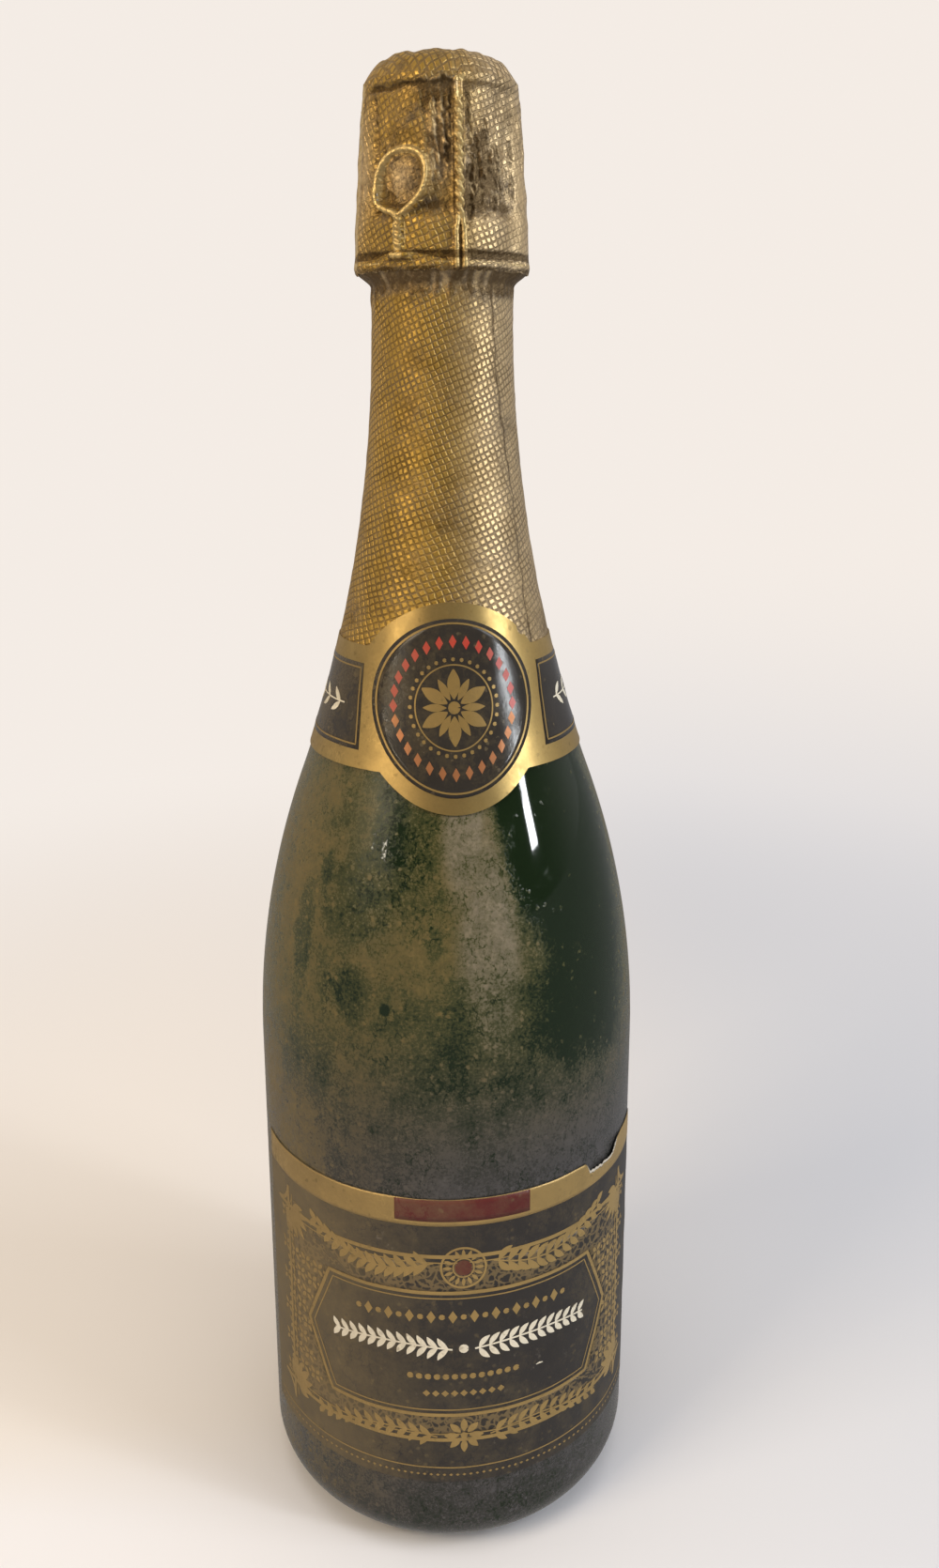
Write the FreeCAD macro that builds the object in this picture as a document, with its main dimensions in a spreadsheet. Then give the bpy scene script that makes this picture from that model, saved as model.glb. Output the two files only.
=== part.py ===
import FreeCAD
import Part
import Sketcher
import math
import os

# Champagne bottle, unopened: glass, wine, cork, wire cage, foil and paper labels.
# The bottle stands on the origin, +Z is up, and its labels face -Y.
# Azimuths are measured from the front of the labels, positive towards +X.

# Driving dimensions in millimetres; names that end in angle or azimuth are in degrees.
SIZES = {
    # Glass, outside, from the base up
    "body_radius": 44.0,
    "heel_radius": 11.5,
    "bearing_width": 3.0,
    "punt_depth": 28.0,
    "shoulder_height": 114.3,
    "shoulder_arc_radius": 184.0,
    "neck_radius": 14.8,
    "straight_neck": 11.1,
    "glass_height": 303.5,
    "ring_drop": 13.8,
    "ring_height": 5.5,
    "ring_bevel": 0.8,
    "ring_radius": 16.3,
    "throat_radius": 13.4,
    "lip_radius": 14.2,
    "lip_height": 5.0,
    "lip_round": 1.2,
    # Glass, inside
    "wall": 5.0,
    "base_wall": 7.0,
    "inner_heel_radius": 2.6,
    "bore_radius": 9.0,
    # Wine, up to a level measured from the lip
    "fill_drop": 78.8,
    "fill_gap": 0.05,
    # Cork: a head over the lip, a shank in the bore and two discs below it
    "cork_gap": 0.04,
    "shank_length": 14.0,
    "cork_disc_height": 6.0,
    "head_foot_radius": 12.2,
    "head_flare_height": 5.0,
    "head_radius": 14.3,
    "head_side_height": 19.0,
    "head_edge_round": 3.0,
    "head_dome_radius": 38.0,
    # Tin cap of the cage
    "cap_gap": 0.05,
    "cap_thickness": 0.35,
    "cap_rim_drop": 1.4,
    # Frame wires of the cage
    "frame_wire_radius": 0.475,
    "frame_wire_gap": 0.08,
    "frame_bend_radius": 1.2,
    "frame_bend_room": 0.1,
    "leg_azimuth": 8.3,
    "leg_strand_offset": 0.55,
    "leg_foot_spread": 1.3,
    "hook_bend_radius": 0.9,
    "hook_reach": 1.9,
    # Belt wire under the ring of the glass
    "belt_wire_radius": 0.55,
    "belt_ring_radius": 15.75,
    "belt_drop": 1.5,
    "belt_end_offset": 1.7,
    # Closing loop, the twisted ends of the belt
    "loop_azimuth": -34.5,
    "loop_wire_radius": 0.5,
    "loop_ring_gap": 0.3,
    "loop_pivot_gap": 0.1,
    "loop_strand_offset": 0.55,
    "loop_stem_length": 7.8,
    "loop_stem_bend_radius": 1.5,
    "loop_eye_height": 11.4,
    "loop_eye_half_width": 5.6,
    "loop_eye_flare": 3.6,
    "loop_eye_low_radius": 3.2,
    "loop_eye_top_radius": 5.0,
    "loop_lean_angle": 9.5,
    # Foil, torn apart at the belt into a hood and a skirt
    "foil_thickness": 0.15,
    "foil_gap": 0.08,
    "hood_gap": 0.2,
    "hood_side_radius": 300.0,
    "hood_corner_radius": 4.0,
    "tear_gap": 0.1,
    "tuck_depth": 3.6,
    "collar_inset": 0.5,
    "skirt_low": 190.0,
    # Paper collar with a round medallion, on the shoulder, over the skirt's low edge
    "paper_thickness": 0.12,
    "paper_gap": 0.08,
    "medallion_height": 198.2,
    "medallion_half_width": 20.0,
    "medallion_half_height": 21.2,
    "collar_gap": 0.16,
    "collar_drop": 13.5,
    "collar_rise": 11.3,
    "collar_seam": 1.5,
    # Front label
    "label_width": 114.0,
    "label_low": 21.4,
    "label_high": 94.4,
}
LEGS = 4


class Size:
    """A number and the sheet formula that gives it, so drawn lines and bound sizes agree."""

    def __init__(self, value, formula):
        self.value = value
        self.formula = formula

    def __add__(self, other):
        return Size(self.value + other.value, f"({self.formula} + {other.formula})")

    def __sub__(self, other):
        return Size(self.value - other.value, f"({self.formula} - {other.formula})")

    def __mul__(self, other):
        return Size(self.value * other.value, f"({self.formula} * {other.formula})")

    def __truediv__(self, other):
        return Size(self.value / other.value, f"({self.formula} / {other.formula})")


def root(size):
    """Square root of a size."""
    return Size(math.sqrt(size.value), f"sqrt({size.formula})")


ZERO = Size(0.0, "0")
TWO = Size(2.0, "2")
DEGREES = Size(180.0 / math.pi, "(180 / pi)")
VERTICAL = FreeCAD.Vector(0, 0, 1)

doc = FreeCAD.newDocument("champagne_bottle")
sheet = doc.addObject("Spreadsheet::Sheet", "Sizes")
size = {}
for row, (name, value) in enumerate(SIZES.items(), start=1):
    sheet.set(f"A{row}", name)
    sheet.set(f"B{row}", str(value))
    sheet.setAlias(f"B{row}", name)
    size[name] = Size(value, f"Sizes.{name}")
doc.recompute()

pieces = []


def keep(piece, label):
    """Names a finished piece, which gives its file the same name."""
    piece.Label = label
    pieces.append(piece)


def arc_centre(start, end, radius, turn):
    """Centre of the shorter arc between two points; turn is 1 for leftwards and -1 for rightwards."""
    chord = end - start
    middle = start + chord * 0.5
    sideways = FreeCAD.Vector(-chord.y, chord.x, 0).normalize()
    return middle + sideways * (turn * math.sqrt(radius ** 2 - (chord.Length / 2) ** 2))


def angle_of(point, centre):
    """Direction from a centre to a point, in radians."""
    return math.atan2(point.y - centre.y, point.x - centre.x)


def draw(sketch, outline):
    """Closed outline of corners (x, z), or (x, z, radius, turn) where an arc leads to the corner."""
    spots = [FreeCAD.Vector(corner[0].value, corner[1].value, 0) for corner in outline]
    ends = []
    rules = []
    formulas = []

    def bind(rule, formula):
        formulas.append((len(rules), formula))
        rules.append(rule)

    for index, corner in enumerate(outline):
        start = spots[index - 1]
        end = spots[index]
        if len(corner) == 2:
            line = sketch.addGeometry(Part.LineSegment(start, end))
            ends.append((line, 1, 2))
            continue
        radius, turn = corner[2], corner[3]
        centre = arc_centre(start, end, radius.value, turn)
        circle = Part.Circle(centre, VERTICAL, radius.value)
        first, last = (start, end) if turn > 0 else (end, start)
        arc = Part.ArcOfCircle(circle, angle_of(first, centre), angle_of(last, centre))
        curve = sketch.addGeometry(arc)
        ends.append((curve, 1, 2) if turn > 0 else (curve, 2, 1))
        bind(Sketcher.Constraint("Radius", curve, radius.value), radius.formula)
    for index, corner in enumerate(outline):
        line, _, tip = ends[index]
        following, tail, _ = ends[(index + 1) % len(ends)]
        rules.append(Sketcher.Constraint("Coincident", line, tip, following, tail))
        for direction, axis, place in (("DistanceX", -2, corner[0]), ("DistanceY", -1, corner[1])):
            if place is ZERO:
                rules.append(Sketcher.Constraint("PointOnObject", line, tip, axis))
            else:
                bind(Sketcher.Constraint(direction, -1, 1, line, tip, place.value), place.formula)
    sketch.addConstraint(rules)
    for index, formula in formulas:
        sketch.setExpression(f"Constraints[{index}]", formula)


def revolved(name, outline, sweep=None):
    """Body turned about the vertical axis, right round or by a sweep angle centred on the front."""
    body = doc.addObject("PartDesign::Body", name)
    sketch = body.newObject("Sketcher::SketchObject", name + "_outline")
    upright = [plane for plane in body.Origin.OriginFeatures if plane.Role == "XZ_Plane"][0]
    sketch.AttachmentSupport = [(upright, "")]
    sketch.MapMode = "FlatFace"
    draw(sketch, outline)
    turned = body.newObject("PartDesign::Revolution", name + "_turned")
    turned.Profile = sketch
    turned.ReferenceAxis = (sketch, ["V_Axis"])
    if sweep is None:
        turned.Angle = 360
    else:
        turned.Midplane = True
        turned.setExpression("Angle", sweep.formula)
        body.Placement = FreeCAD.Placement(FreeCAD.Vector(), FreeCAD.Rotation(VERTICAL, -90))
    return body


def joined(kind, name, base, tool):
    """Part boolean of two objects: Part::Cut, Part::Fuse or Part::Common."""
    result = doc.addObject(kind, name)
    result.Base = base
    result.Tool = tool
    return result


def cylinder(name, radius, height, base_z):
    """Upright cylinder on the bottle's axis."""
    rod = doc.addObject("Part::Cylinder", name)
    rod.setExpression("Radius", radius.formula)
    rod.setExpression("Height", height.formula)
    rod.setExpression("Placement.Base.z", base_z.formula)
    return rod


# The bottle's outline: a straight wall, a convex shoulder arc and a concave neck arc that meet
# tangent to each other, and a short straight neck up to the ring. Every layer on the glass
# follows the same two centres.
body_radius = size["body_radius"]
neck_radius = size["neck_radius"]
shoulder_height = size["shoulder_height"]
shoulder_arc = size["shoulder_arc_radius"]
glass_height = size["glass_height"]
ring_low = glass_height - size["ring_drop"]
neck_height = ring_low - size["straight_neck"]
narrowing = body_radius - neck_radius
arc_rise = neck_height - shoulder_height
arc_sum = (arc_rise * arc_rise + narrowing * narrowing) / (TWO * narrowing)
neck_arc = arc_sum - shoulder_arc
shoulder_centre_x = body_radius - shoulder_arc
neck_centre_x = neck_radius + neck_arc


def inflection(layer):
    """Point where the shoulder arc turns into the neck arc, a layer's height out from the glass."""
    reach = (shoulder_arc + layer) / arc_sum
    x = shoulder_centre_x + (neck_centre_x - shoulder_centre_x) * reach
    return x, shoulder_height + arc_rise * reach


def arcs_up(layer):
    """Outline over both arcs from the straight wall to the straight neck, a layer's height out."""
    bend_x, bend_z = inflection(layer)
    return [
        (body_radius + layer, shoulder_height),
        (bend_x, bend_z, shoulder_arc + layer, 1),
        (neck_radius + layer, neck_height, neck_arc - layer, -1),
    ]


# Punt: a dome pressed up into the base, with the bearing ring round it.
heel_radius = size["heel_radius"]
bearing_outer = body_radius - heel_radius
bearing_inner = bearing_outer - size["bearing_width"]
punt_depth = size["punt_depth"]
punt_radius = (bearing_inner * bearing_inner + punt_depth * punt_depth) / (TWO * punt_depth)
punt_centre_z = punt_depth - punt_radius


def inside(inset, floor, heel, bore):
    """Inner outline from the foot of the bore down to the punt's crown on the axis."""
    layer = ZERO - inset
    wall_x = body_radius - inset
    dome = punt_radius + floor
    heel_x = wall_x - heel
    swing = dome + heel
    heel_z = punt_centre_z + root(swing * swing - heel_x * heel_x)
    foot_x = heel_x * dome / swing
    foot_z = punt_centre_z + (heel_z - punt_centre_z) * dome / swing
    bend_x, bend_z = inflection(layer)
    swell = bend_x - bore
    drop = neck_height - bend_z
    return [
        (bore, neck_height),
        (bend_x, bend_z, (swell * swell + drop * drop) / (TWO * swell), 1),
        (wall_x, shoulder_height, shoulder_arc + layer, -1),
        (wall_x, heel_z),
        (heel_x, heel_z - heel, heel, -1),
        (foot_x, foot_z, heel, -1),
        (ZERO, punt_depth + floor, dome, 1),
    ]


# Glass bottle
ring_radius = size["ring_radius"]
ring_top = ring_low + size["ring_height"]
ring_bevel = size["ring_bevel"]
throat_radius = size["throat_radius"]
lip_radius = size["lip_radius"]
lip_round = size["lip_round"]
lip_low = glass_height - size["lip_height"]
bore_radius = size["bore_radius"]
glass_outside = [
    (bearing_inner, ZERO, punt_radius, -1),
    (bearing_outer, ZERO),
    (body_radius, heel_radius, heel_radius, 1),
    *arcs_up(ZERO),
    (neck_radius, ring_low),
    (ring_radius, ring_low + ring_bevel),
    (ring_radius, ring_top - ring_bevel),
    (ring_radius - ring_bevel, ring_top),
    (throat_radius, ring_top),
    (throat_radius, lip_low),
    (lip_radius, lip_low + lip_round),
    (lip_radius, glass_height - lip_round),
    (lip_radius - lip_round, glass_height, lip_round, 1),
    (bore_radius + lip_round, glass_height),
    (bore_radius, glass_height - lip_round, lip_round, 1),
]
glass_inside = inside(size["wall"], size["base_wall"], size["inner_heel_radius"], bore_radius)
keep(revolved("glass_bottle", glass_outside + glass_inside + [(ZERO, punt_depth)]), "glass_bottle")

# Wine, filling the glass up to its level in the neck
fill_gap = size["fill_gap"]
full_outline = inside(
    size["wall"] + fill_gap,
    size["base_wall"] + fill_gap,
    size["inner_heel_radius"] - fill_gap,
    bore_radius - fill_gap,
)
full_inside = revolved("full_inside", full_outline + [(ZERO, neck_height)])
fill_zone = cylinder("fill_zone", body_radius, glass_height - size["fill_drop"], ZERO)
keep(joined("Part::Common", "wine", full_inside, fill_zone), "wine")

# Cork: the head is domed on top and rests on the lip, the shank fills the bore
shank_radius = bore_radius - size["cork_gap"]
shank_low = glass_height - size["shank_length"]
head_radius = size["head_radius"]
head_edge = glass_height + size["head_side_height"]
edge_round = size["head_edge_round"]
dome_radius = size["head_dome_radius"]
dome_edge_x = head_radius - edge_round
dome_edge_z = head_edge + edge_round
dome_centre_z = dome_edge_z - root(dome_radius * dome_radius - dome_edge_x * dome_edge_x)


def domed_top(layer):
    """Outline over the head from its side to the axis, a layer's height out from the cork."""
    grown = dome_radius + layer
    growth = grown / dome_radius
    edge_z = dome_centre_z + (dome_edge_z - dome_centre_z) * growth
    return [
        (head_radius + layer, head_edge),
        (dome_edge_x * growth, edge_z, edge_round + layer, 1),
        (ZERO, dome_centre_z + grown, grown, 1),
    ]


cork_outline = [
    (ZERO, shank_low),
    (shank_radius, shank_low),
    (shank_radius, glass_height),
    (size["head_foot_radius"], glass_height),
    (head_radius, glass_height + size["head_flare_height"]),
]
keep(revolved("cork_body", cork_outline + domed_top(ZERO)), "cork_body")
disc_height = size["cork_disc_height"]
upper_disc_low = shank_low - disc_height
lower_disc_low = upper_disc_low - disc_height
keep(cylinder("cork_disc_upper", shank_radius, disc_height, upper_disc_low), "cork_disc_upper")
keep(cylinder("cork_disc_lower", shank_radius, disc_height, lower_disc_low), "cork_disc_lower")

# Tin cap that keeps the wires from cutting into the cork
cap_inner = size["cap_gap"]
cap_outer = cap_inner + size["cap_thickness"]
cap_rim = head_edge - size["cap_rim_drop"]
cap_shell = [(head_radius + cap_outer, cap_rim)] + domed_top(cap_outer)
cap_hollow = [(head_radius + cap_inner, cap_rim)] + domed_top(cap_inner)


def reversed_outline(outline):
    """The same open outline walked from its last corner to its first."""
    backwards = [outline[-1][:2]]
    for corner, leading in zip(outline[-2::-1], outline[:0:-1]):
        if len(leading) == 2:
            backwards.append(corner[:2])
        else:
            backwards.append((corner[0], corner[1], leading[2], -leading[3]))
    return backwards


keep(revolved("cage_cap", cap_shell + reversed_outline(cap_hollow)), "cage_cap")

# Heights of the cage: the crown of the frame at the cap's edge, the belt under the ring, the
# hooks of the frame under the belt
wire_radius = size["frame_wire_radius"]
wire_gap = size["frame_wire_gap"]
crown_radius = head_radius + cap_outer + wire_gap + wire_radius
crown_height = head_edge
belt_wire_radius = size["belt_wire_radius"]
belt_ring_radius = size["belt_ring_radius"]
belt_height = ring_low - size["belt_drop"]
hook_height = belt_height - belt_wire_radius - wire_gap - wire_radius
foot_radius = ring_radius + size["leg_foot_spread"]


def around(azimuth, outward, sideways, height):
    """Point by azimuth in degrees, distance out from the axis, distance sideways and height."""
    turn = FreeCAD.Rotation(VERTICAL, azimuth)
    return turn.multVec(FreeCAD.Vector(sideways, -outward, height))


def bent_wire(corners, bends, radius):
    """Round wire along straight runs, each inner corner rounded to its bend radius."""
    edges = []
    start = corners[0]
    for before, corner, after, bend in zip(corners, corners[1:], corners[2:], bends):
        back = (before - corner).normalize()
        ahead = (after - corner).normalize()
        half = back.getAngle(ahead) / 2
        enter = corner + back * (bend / math.tan(half))
        leave = corner + ahead * (bend / math.tan(half))
        middle = corner + (back + ahead).normalize() * (bend / math.sin(half) - bend)
        edges.append(Part.LineSegment(start, enter).toShape())
        edges.append(Part.Arc(enter, middle, leave).toShape())
        start = leave
    edges.append(Part.LineSegment(start, corners[-1]).toShape())
    path = Part.Wire(edges)
    section = Part.Wire(Part.makeCircle(radius, corners[0], corners[1] - corners[0]))
    solid = path.makePipeShell([section], True, False)
    expected = math.pi * radius ** 2 * path.Length
    if abs(solid.Volume - expected) > 0.01 * expected:
        raise RuntimeError("a bent wire's volume isn't its section times its length")
    return solid


def wire_piece(name, shape, azimuth):
    """Wire shaped at the front, turned to its azimuth."""
    piece = doc.addObject("Part::Feature", name)
    piece.Shape = shape
    piece.Placement = FreeCAD.Placement(FreeCAD.Vector(), FreeCAD.Rotation(VERTICAL, azimuth))
    return piece


# Frame wires: each is a strand up one leg, a quarter of the crown round the cap's edge and a
# strand down the next leg. Two neighbours lie side by side in every leg, and their ends hook
# under the belt.
def frame_wire():
    """One frame wire from its front leg to the next leg."""
    crown = sheet.get("frame_bend_radius") + sheet.get("frame_bend_room")
    offset = sheet.get("leg_strand_offset")
    radius = crown_radius.value
    quarter = 360 / LEGS
    lead = math.asin(offset / math.hypot(radius, crown)) + math.atan(crown / radius)
    top = radius * math.cos(lead) + crown * math.sin(lead)
    outer = radius / math.cos(math.radians(quarter / 2) - lead)
    tip = foot_radius.value - sheet.get("hook_reach")
    corners = [
        around(0, tip, offset, hook_height.value),
        around(0, foot_radius.value, offset, hook_height.value),
        around(0, top, offset, crown_height.value),
        around(quarter / 2, outer, 0, crown_height.value),
        around(quarter, top, -offset, crown_height.value),
        around(quarter, foot_radius.value, -offset, hook_height.value),
        around(quarter, tip, -offset, hook_height.value),
    ]
    hook_bend = sheet.get("hook_bend_radius")
    leg_bend = sheet.get("frame_bend_radius")
    return bent_wire(corners, [hook_bend, leg_bend, radius, leg_bend, hook_bend], wire_radius.value)


frame_shape = frame_wire()
for leg in range(LEGS):
    azimuth = sheet.get("leg_azimuth") + leg * 360 / LEGS
    name = f"frame_wire_{leg + 1}"
    keep(wire_piece(name, frame_shape.copy(), azimuth), name)

# Belt wire: a ring open at the loop, with its two ends turned outwards to carry the loop
loop_wire_radius = size["loop_wire_radius"]
pivot_radius = ring_radius + size["loop_ring_gap"] + loop_wire_radius
end_offset = size["belt_end_offset"]
gap_angle = Size(
    math.degrees(math.asin(end_offset.value / belt_ring_radius.value)),
    f"asin({end_offset.formula} / {belt_ring_radius.formula}) / 1deg",
)
end_start = root(belt_ring_radius * belt_ring_radius - end_offset * end_offset)
belt = doc.addObject("Part::Torus", "belt_ring")
belt.setExpression("Radius1", belt_ring_radius.formula)
belt.setExpression("Radius2", belt_wire_radius.formula)
belt.setExpression("Angle3", f"360 - 2 * {gap_angle.formula}")
belt.Placement = FreeCAD.Placement(FreeCAD.Vector(), FreeCAD.Rotation(VERTICAL, -90 + gap_angle.value))
belt.setExpression("Placement.Rotation.Angle", f"({gap_angle.formula} + 270) * 1deg")
belt.setExpression("Placement.Base.z", belt_height.formula)
for side, sign in (("left", "-1"), ("right", "1")):
    end = doc.addObject("Part::Cylinder", f"belt_end_{side}")
    end.setExpression("Radius", belt_wire_radius.formula)
    end.setExpression("Height", (pivot_radius + loop_wire_radius - end_start).formula)
    end.Placement = FreeCAD.Placement(FreeCAD.Vector(), FreeCAD.Rotation(FreeCAD.Vector(1, 0, 0), 90))
    end.setExpression("Placement.Base.x", f"{sign} * {end_offset.formula}")
    end.setExpression("Placement.Base.y", f"-1 * {end_start.formula}")
    end.setExpression("Placement.Base.z", belt_height.formula)
    belt = joined("Part::Fuse", f"belt_with_{side}_end", belt, end)
belt.Placement = FreeCAD.Placement(
    FreeCAD.Vector(), FreeCAD.Rotation(VERTICAL, sheet.get("loop_azimuth"))
)
belt.setExpression("Placement.Rotation.Angle", "Sizes.loop_azimuth * 1deg")
keep(belt, "belt_wire")


# Closing loop: a pin between the belt's ends, a stem of two strands up over the ring, and an eye
# that leans in against the cork's head
def closing_loop():
    """The loop at the front, standing up on its pin."""
    offset = sheet.get("loop_strand_offset")
    stem_top = belt_height.value + sheet.get("loop_stem_length")
    eye_top = stem_top + sheet.get("loop_eye_height")
    eye_low = stem_top + sheet.get("loop_eye_flare")
    half_width = sheet.get("loop_eye_half_width")
    lean = math.tan(math.radians(sheet.get("loop_lean_angle")))

    def spot(sideways, height):
        inward = max(height - stem_top, 0) * lean
        return around(0, pivot_radius.value - inward, sideways, height)

    right = [
        spot(offset, belt_height.value),
        spot(offset, stem_top),
        spot(half_width, eye_low),
        spot(half_width, eye_top),
    ]
    left = [
        spot(-half_width, eye_top),
        spot(-half_width, eye_low),
        spot(-offset, stem_top),
        spot(-offset, belt_height.value),
    ]
    bends = [
        sheet.get("loop_stem_bend_radius"),
        sheet.get("loop_eye_low_radius"),
        sheet.get("loop_eye_top_radius"),
    ]
    eye = bent_wire(right + left, bends + bends[::-1], loop_wire_radius.value)
    half_pin = end_offset.value - belt_wire_radius.value - sheet.get("loop_pivot_gap")
    pin_start = around(0, pivot_radius.value, -half_pin, belt_height.value)
    pin = Part.makeCylinder(belt_wire_radius.value, 2 * half_pin, pin_start, FreeCAD.Vector(1, 0, 0))
    return pin.fuse(eye)


keep(wire_piece("twist_loop", closing_loop(), sheet.get("loop_azimuth")), "twist_loop")

# Foil hood over the cork and the cage, down to where the foil is torn off under the belt
foil = size["foil_thickness"]
hood_gap = size["hood_gap"]
hood_inner = cap_outer + hood_gap
tear_height = hook_height - wire_radius - hood_gap
hood_foot = foot_radius + wire_radius + hood_gap
hood_crown = crown_radius + wire_radius + hood_gap
hood_side = size["hood_side_radius"]
hood_corner = size["hood_corner_radius"]


def hood_outline(layer):
    """Hood's outline from its torn edge to the axis, a layer's height out from its inner face."""
    _, (edge_x, edge_z, _, _), crown_point = domed_top(hood_inner + layer)
    return [
        (hood_foot + layer, tear_height),
        (hood_crown + layer, crown_height, hood_side + layer, 1),
        (edge_x, edge_z, hood_corner + layer, 1),
        crown_point,
    ]


hood_outside = hood_outline(foil)
hood_inside = hood_outline(ZERO)
keep(revolved("foil_hood", hood_outside + reversed_outline(hood_inside)), "foil_hood")

# Foil skirt on the neck: it runs down under the paper collar, and its torn top edge flares out
# below the belt
skirt_inner = size["foil_gap"]
skirt_outer = skirt_inner + foil
skirt_low = size["skirt_low"]
skirt_top = tear_height - size["tear_gap"]
tuck_height = skirt_top - size["tuck_depth"]
flare_radius = hood_foot - size["collar_inset"]
skirt_outside = arcs_up(skirt_outer) + [
    (neck_radius + skirt_outer, tuck_height),
    (flare_radius, skirt_top - foil),
]
skirt_inside = arcs_up(skirt_inner) + [
    (neck_radius + skirt_inner, tuck_height + foil),
    (flare_radius, skirt_top),
]
full_skirt = revolved("full_skirt", skirt_outside + reversed_outline(skirt_inside))
skirt_zone = cylinder("skirt_zone", body_radius, glass_height - skirt_low, skirt_low)
keep(joined("Part::Common", "foil_skirt", full_skirt, skirt_zone), "foil_skirt")

# Paper collar: a band round the shoulder with a round medallion in front and a seam at the back
paper = size["paper_thickness"]
collar_inner = skirt_outer + size["collar_gap"]
collar_outer = collar_inner + paper
collar_sheet = revolved(
    "collar_sheet", arcs_up(collar_outer) + reversed_outline(arcs_up(collar_inner))
)
medallion_height = size["medallion_height"]
medallion = doc.addObject("Part::Ellipse", "medallion_outline")
medallion.setExpression("MajorRadius", size["medallion_half_height"].formula)
medallion.setExpression("MinorRadius", size["medallion_half_width"].formula)
medallion.Placement = FreeCAD.Placement(
    FreeCAD.Vector(0, 0, medallion_height.value), FreeCAD.Rotation(FreeCAD.Vector(1, 1, 1), -120)
)
medallion.setExpression("Placement.Base.z", medallion_height.formula)
die = doc.addObject("Part::Extrusion", "medallion_die")
die.Base = medallion
die.DirMode = "Custom"
die.Dir = FreeCAD.Vector(0, -1, 0)
die.Solid = True
die.setExpression("LengthFwd", body_radius.formula)
collar_low = medallion_height - size["collar_drop"]
collar_height = size["collar_drop"] + size["collar_rise"]
collar_zone = cylinder("collar_zone", body_radius, collar_height, collar_low)
seam = doc.addObject("Part::Box", "collar_seam_cut")
seam.setExpression("Length", size["collar_seam"].formula)
seam.setExpression("Width", body_radius.formula)
seam.setExpression("Height", collar_height.formula)
seam.setExpression("Placement.Base.x", f"{size['collar_seam'].formula} / -2")
seam.setExpression("Placement.Base.z", collar_low.formula)
open_zone = joined("Part::Cut", "open_collar_zone", collar_zone, seam)
cut_shape = joined("Part::Fuse", "collar_die", open_zone, die)
keep(joined("Part::Common", "neck_label", collar_sheet, cut_shape), "neck_label")

# Front label, wrapped round the front of the straight wall
label_inner = body_radius + size["paper_gap"]
label_outer = label_inner + paper
label_low = size["label_low"]
label_high = size["label_high"]
label_outline = [
    (label_inner, label_low),
    (label_outer, label_low),
    (label_outer, label_high),
    (label_inner, label_high),
]
label_sweep = size["label_width"] / label_inner * DEGREES
keep(revolved("front_label", label_outline, label_sweep), "front_label")

doc.recompute()
for thing in doc.Objects:
    if "Invalid" in thing.State or "Error" in thing.State:
        raise RuntimeError(f"{thing.Name} failed to build")
for piece in pieces:
    if piece.Shape.isNull() or not piece.Shape.isValid() or len(piece.Shape.Solids) != 1:
        raise RuntimeError(f"{piece.Label} isn't one valid solid")
os.makedirs("parts", exist_ok=True)
for piece in pieces:
    box = piece.Shape.BoundBox
    print(f"{piece.Label}: {piece.Shape.Volume:.1f} mm3, z {box.ZMin:.2f} to {box.ZMax:.2f}")
    piece.Shape.exportStep(f"parts/{piece.Label}.step")
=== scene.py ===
import math
import bmesh
import bpy
import numpy as np
from mathutils import Matrix


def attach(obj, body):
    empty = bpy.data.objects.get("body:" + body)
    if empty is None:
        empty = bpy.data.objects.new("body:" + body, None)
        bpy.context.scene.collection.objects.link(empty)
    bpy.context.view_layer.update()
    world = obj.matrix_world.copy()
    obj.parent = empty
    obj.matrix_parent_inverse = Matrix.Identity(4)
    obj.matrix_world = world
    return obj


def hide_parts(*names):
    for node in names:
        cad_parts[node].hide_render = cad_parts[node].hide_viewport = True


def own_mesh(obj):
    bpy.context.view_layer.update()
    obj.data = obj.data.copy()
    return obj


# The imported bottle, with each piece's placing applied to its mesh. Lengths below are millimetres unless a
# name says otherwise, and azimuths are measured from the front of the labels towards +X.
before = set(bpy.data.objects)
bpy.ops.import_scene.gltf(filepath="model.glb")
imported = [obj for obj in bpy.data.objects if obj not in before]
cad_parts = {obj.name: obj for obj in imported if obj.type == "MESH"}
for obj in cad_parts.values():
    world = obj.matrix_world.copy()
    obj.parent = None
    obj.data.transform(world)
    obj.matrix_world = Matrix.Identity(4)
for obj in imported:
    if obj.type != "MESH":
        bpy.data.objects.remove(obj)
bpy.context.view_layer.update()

# Glass bottle
# Thick green glass, blown in a mould: a straight wall on a rounded heel, a shoulder that bends
# over into a slim neck, a ring for the wire cage and a punt pressed up into the base. Years of
# storage left a film of dust on it, which hands have wiped off in places.
BODY_RADIUS = 44.0
HEEL_RADIUS = 11.5
BEARING_INNER = 29.5
PUNT_DEPTH = 28.0
SHOULDER_HEIGHT = 114.3
SHOULDER_ARC = 184.0
NECK_RADIUS = 14.8
NECK_HEIGHT = 278.6
NECK_MIDDLE = 284.0
NECK_STEPS = 50
RING_RADIUS = 16.3
RING_LOW = 289.7
RING_HIGH = 295.2
RING_BEVEL = 0.8
GROOVE_RADIUS = 13.4
LIP_RADIUS = 14.2
LIP_LOW = 298.5
LIP_ROUND = 1.2
GLASS_HEIGHT = 303.5
GLASS_WALL = 5.0
BASE_WALL = 7.0
INNER_HEEL = 2.6
BORE_RADIUS = 9.0
BORE_MIDDLE = 290.0
GLASS_GREEN = (0.007, 0.016, 0.005, 1.0)
THIN_DUST = (0.052, 0.057, 0.02, 1.0)
THIN_GREY = (0.042, 0.041, 0.038, 1.0)
DUST_BROWN = (0.158, 0.114, 0.036, 1.0)
DUST_GREY = (0.088, 0.083, 0.084, 1.0)
DUST_PALE = (0.21, 0.175, 0.115, 1.0)
MOTTLE_DARK = (0.05, 0.05, 0.05, 1.0)
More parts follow.
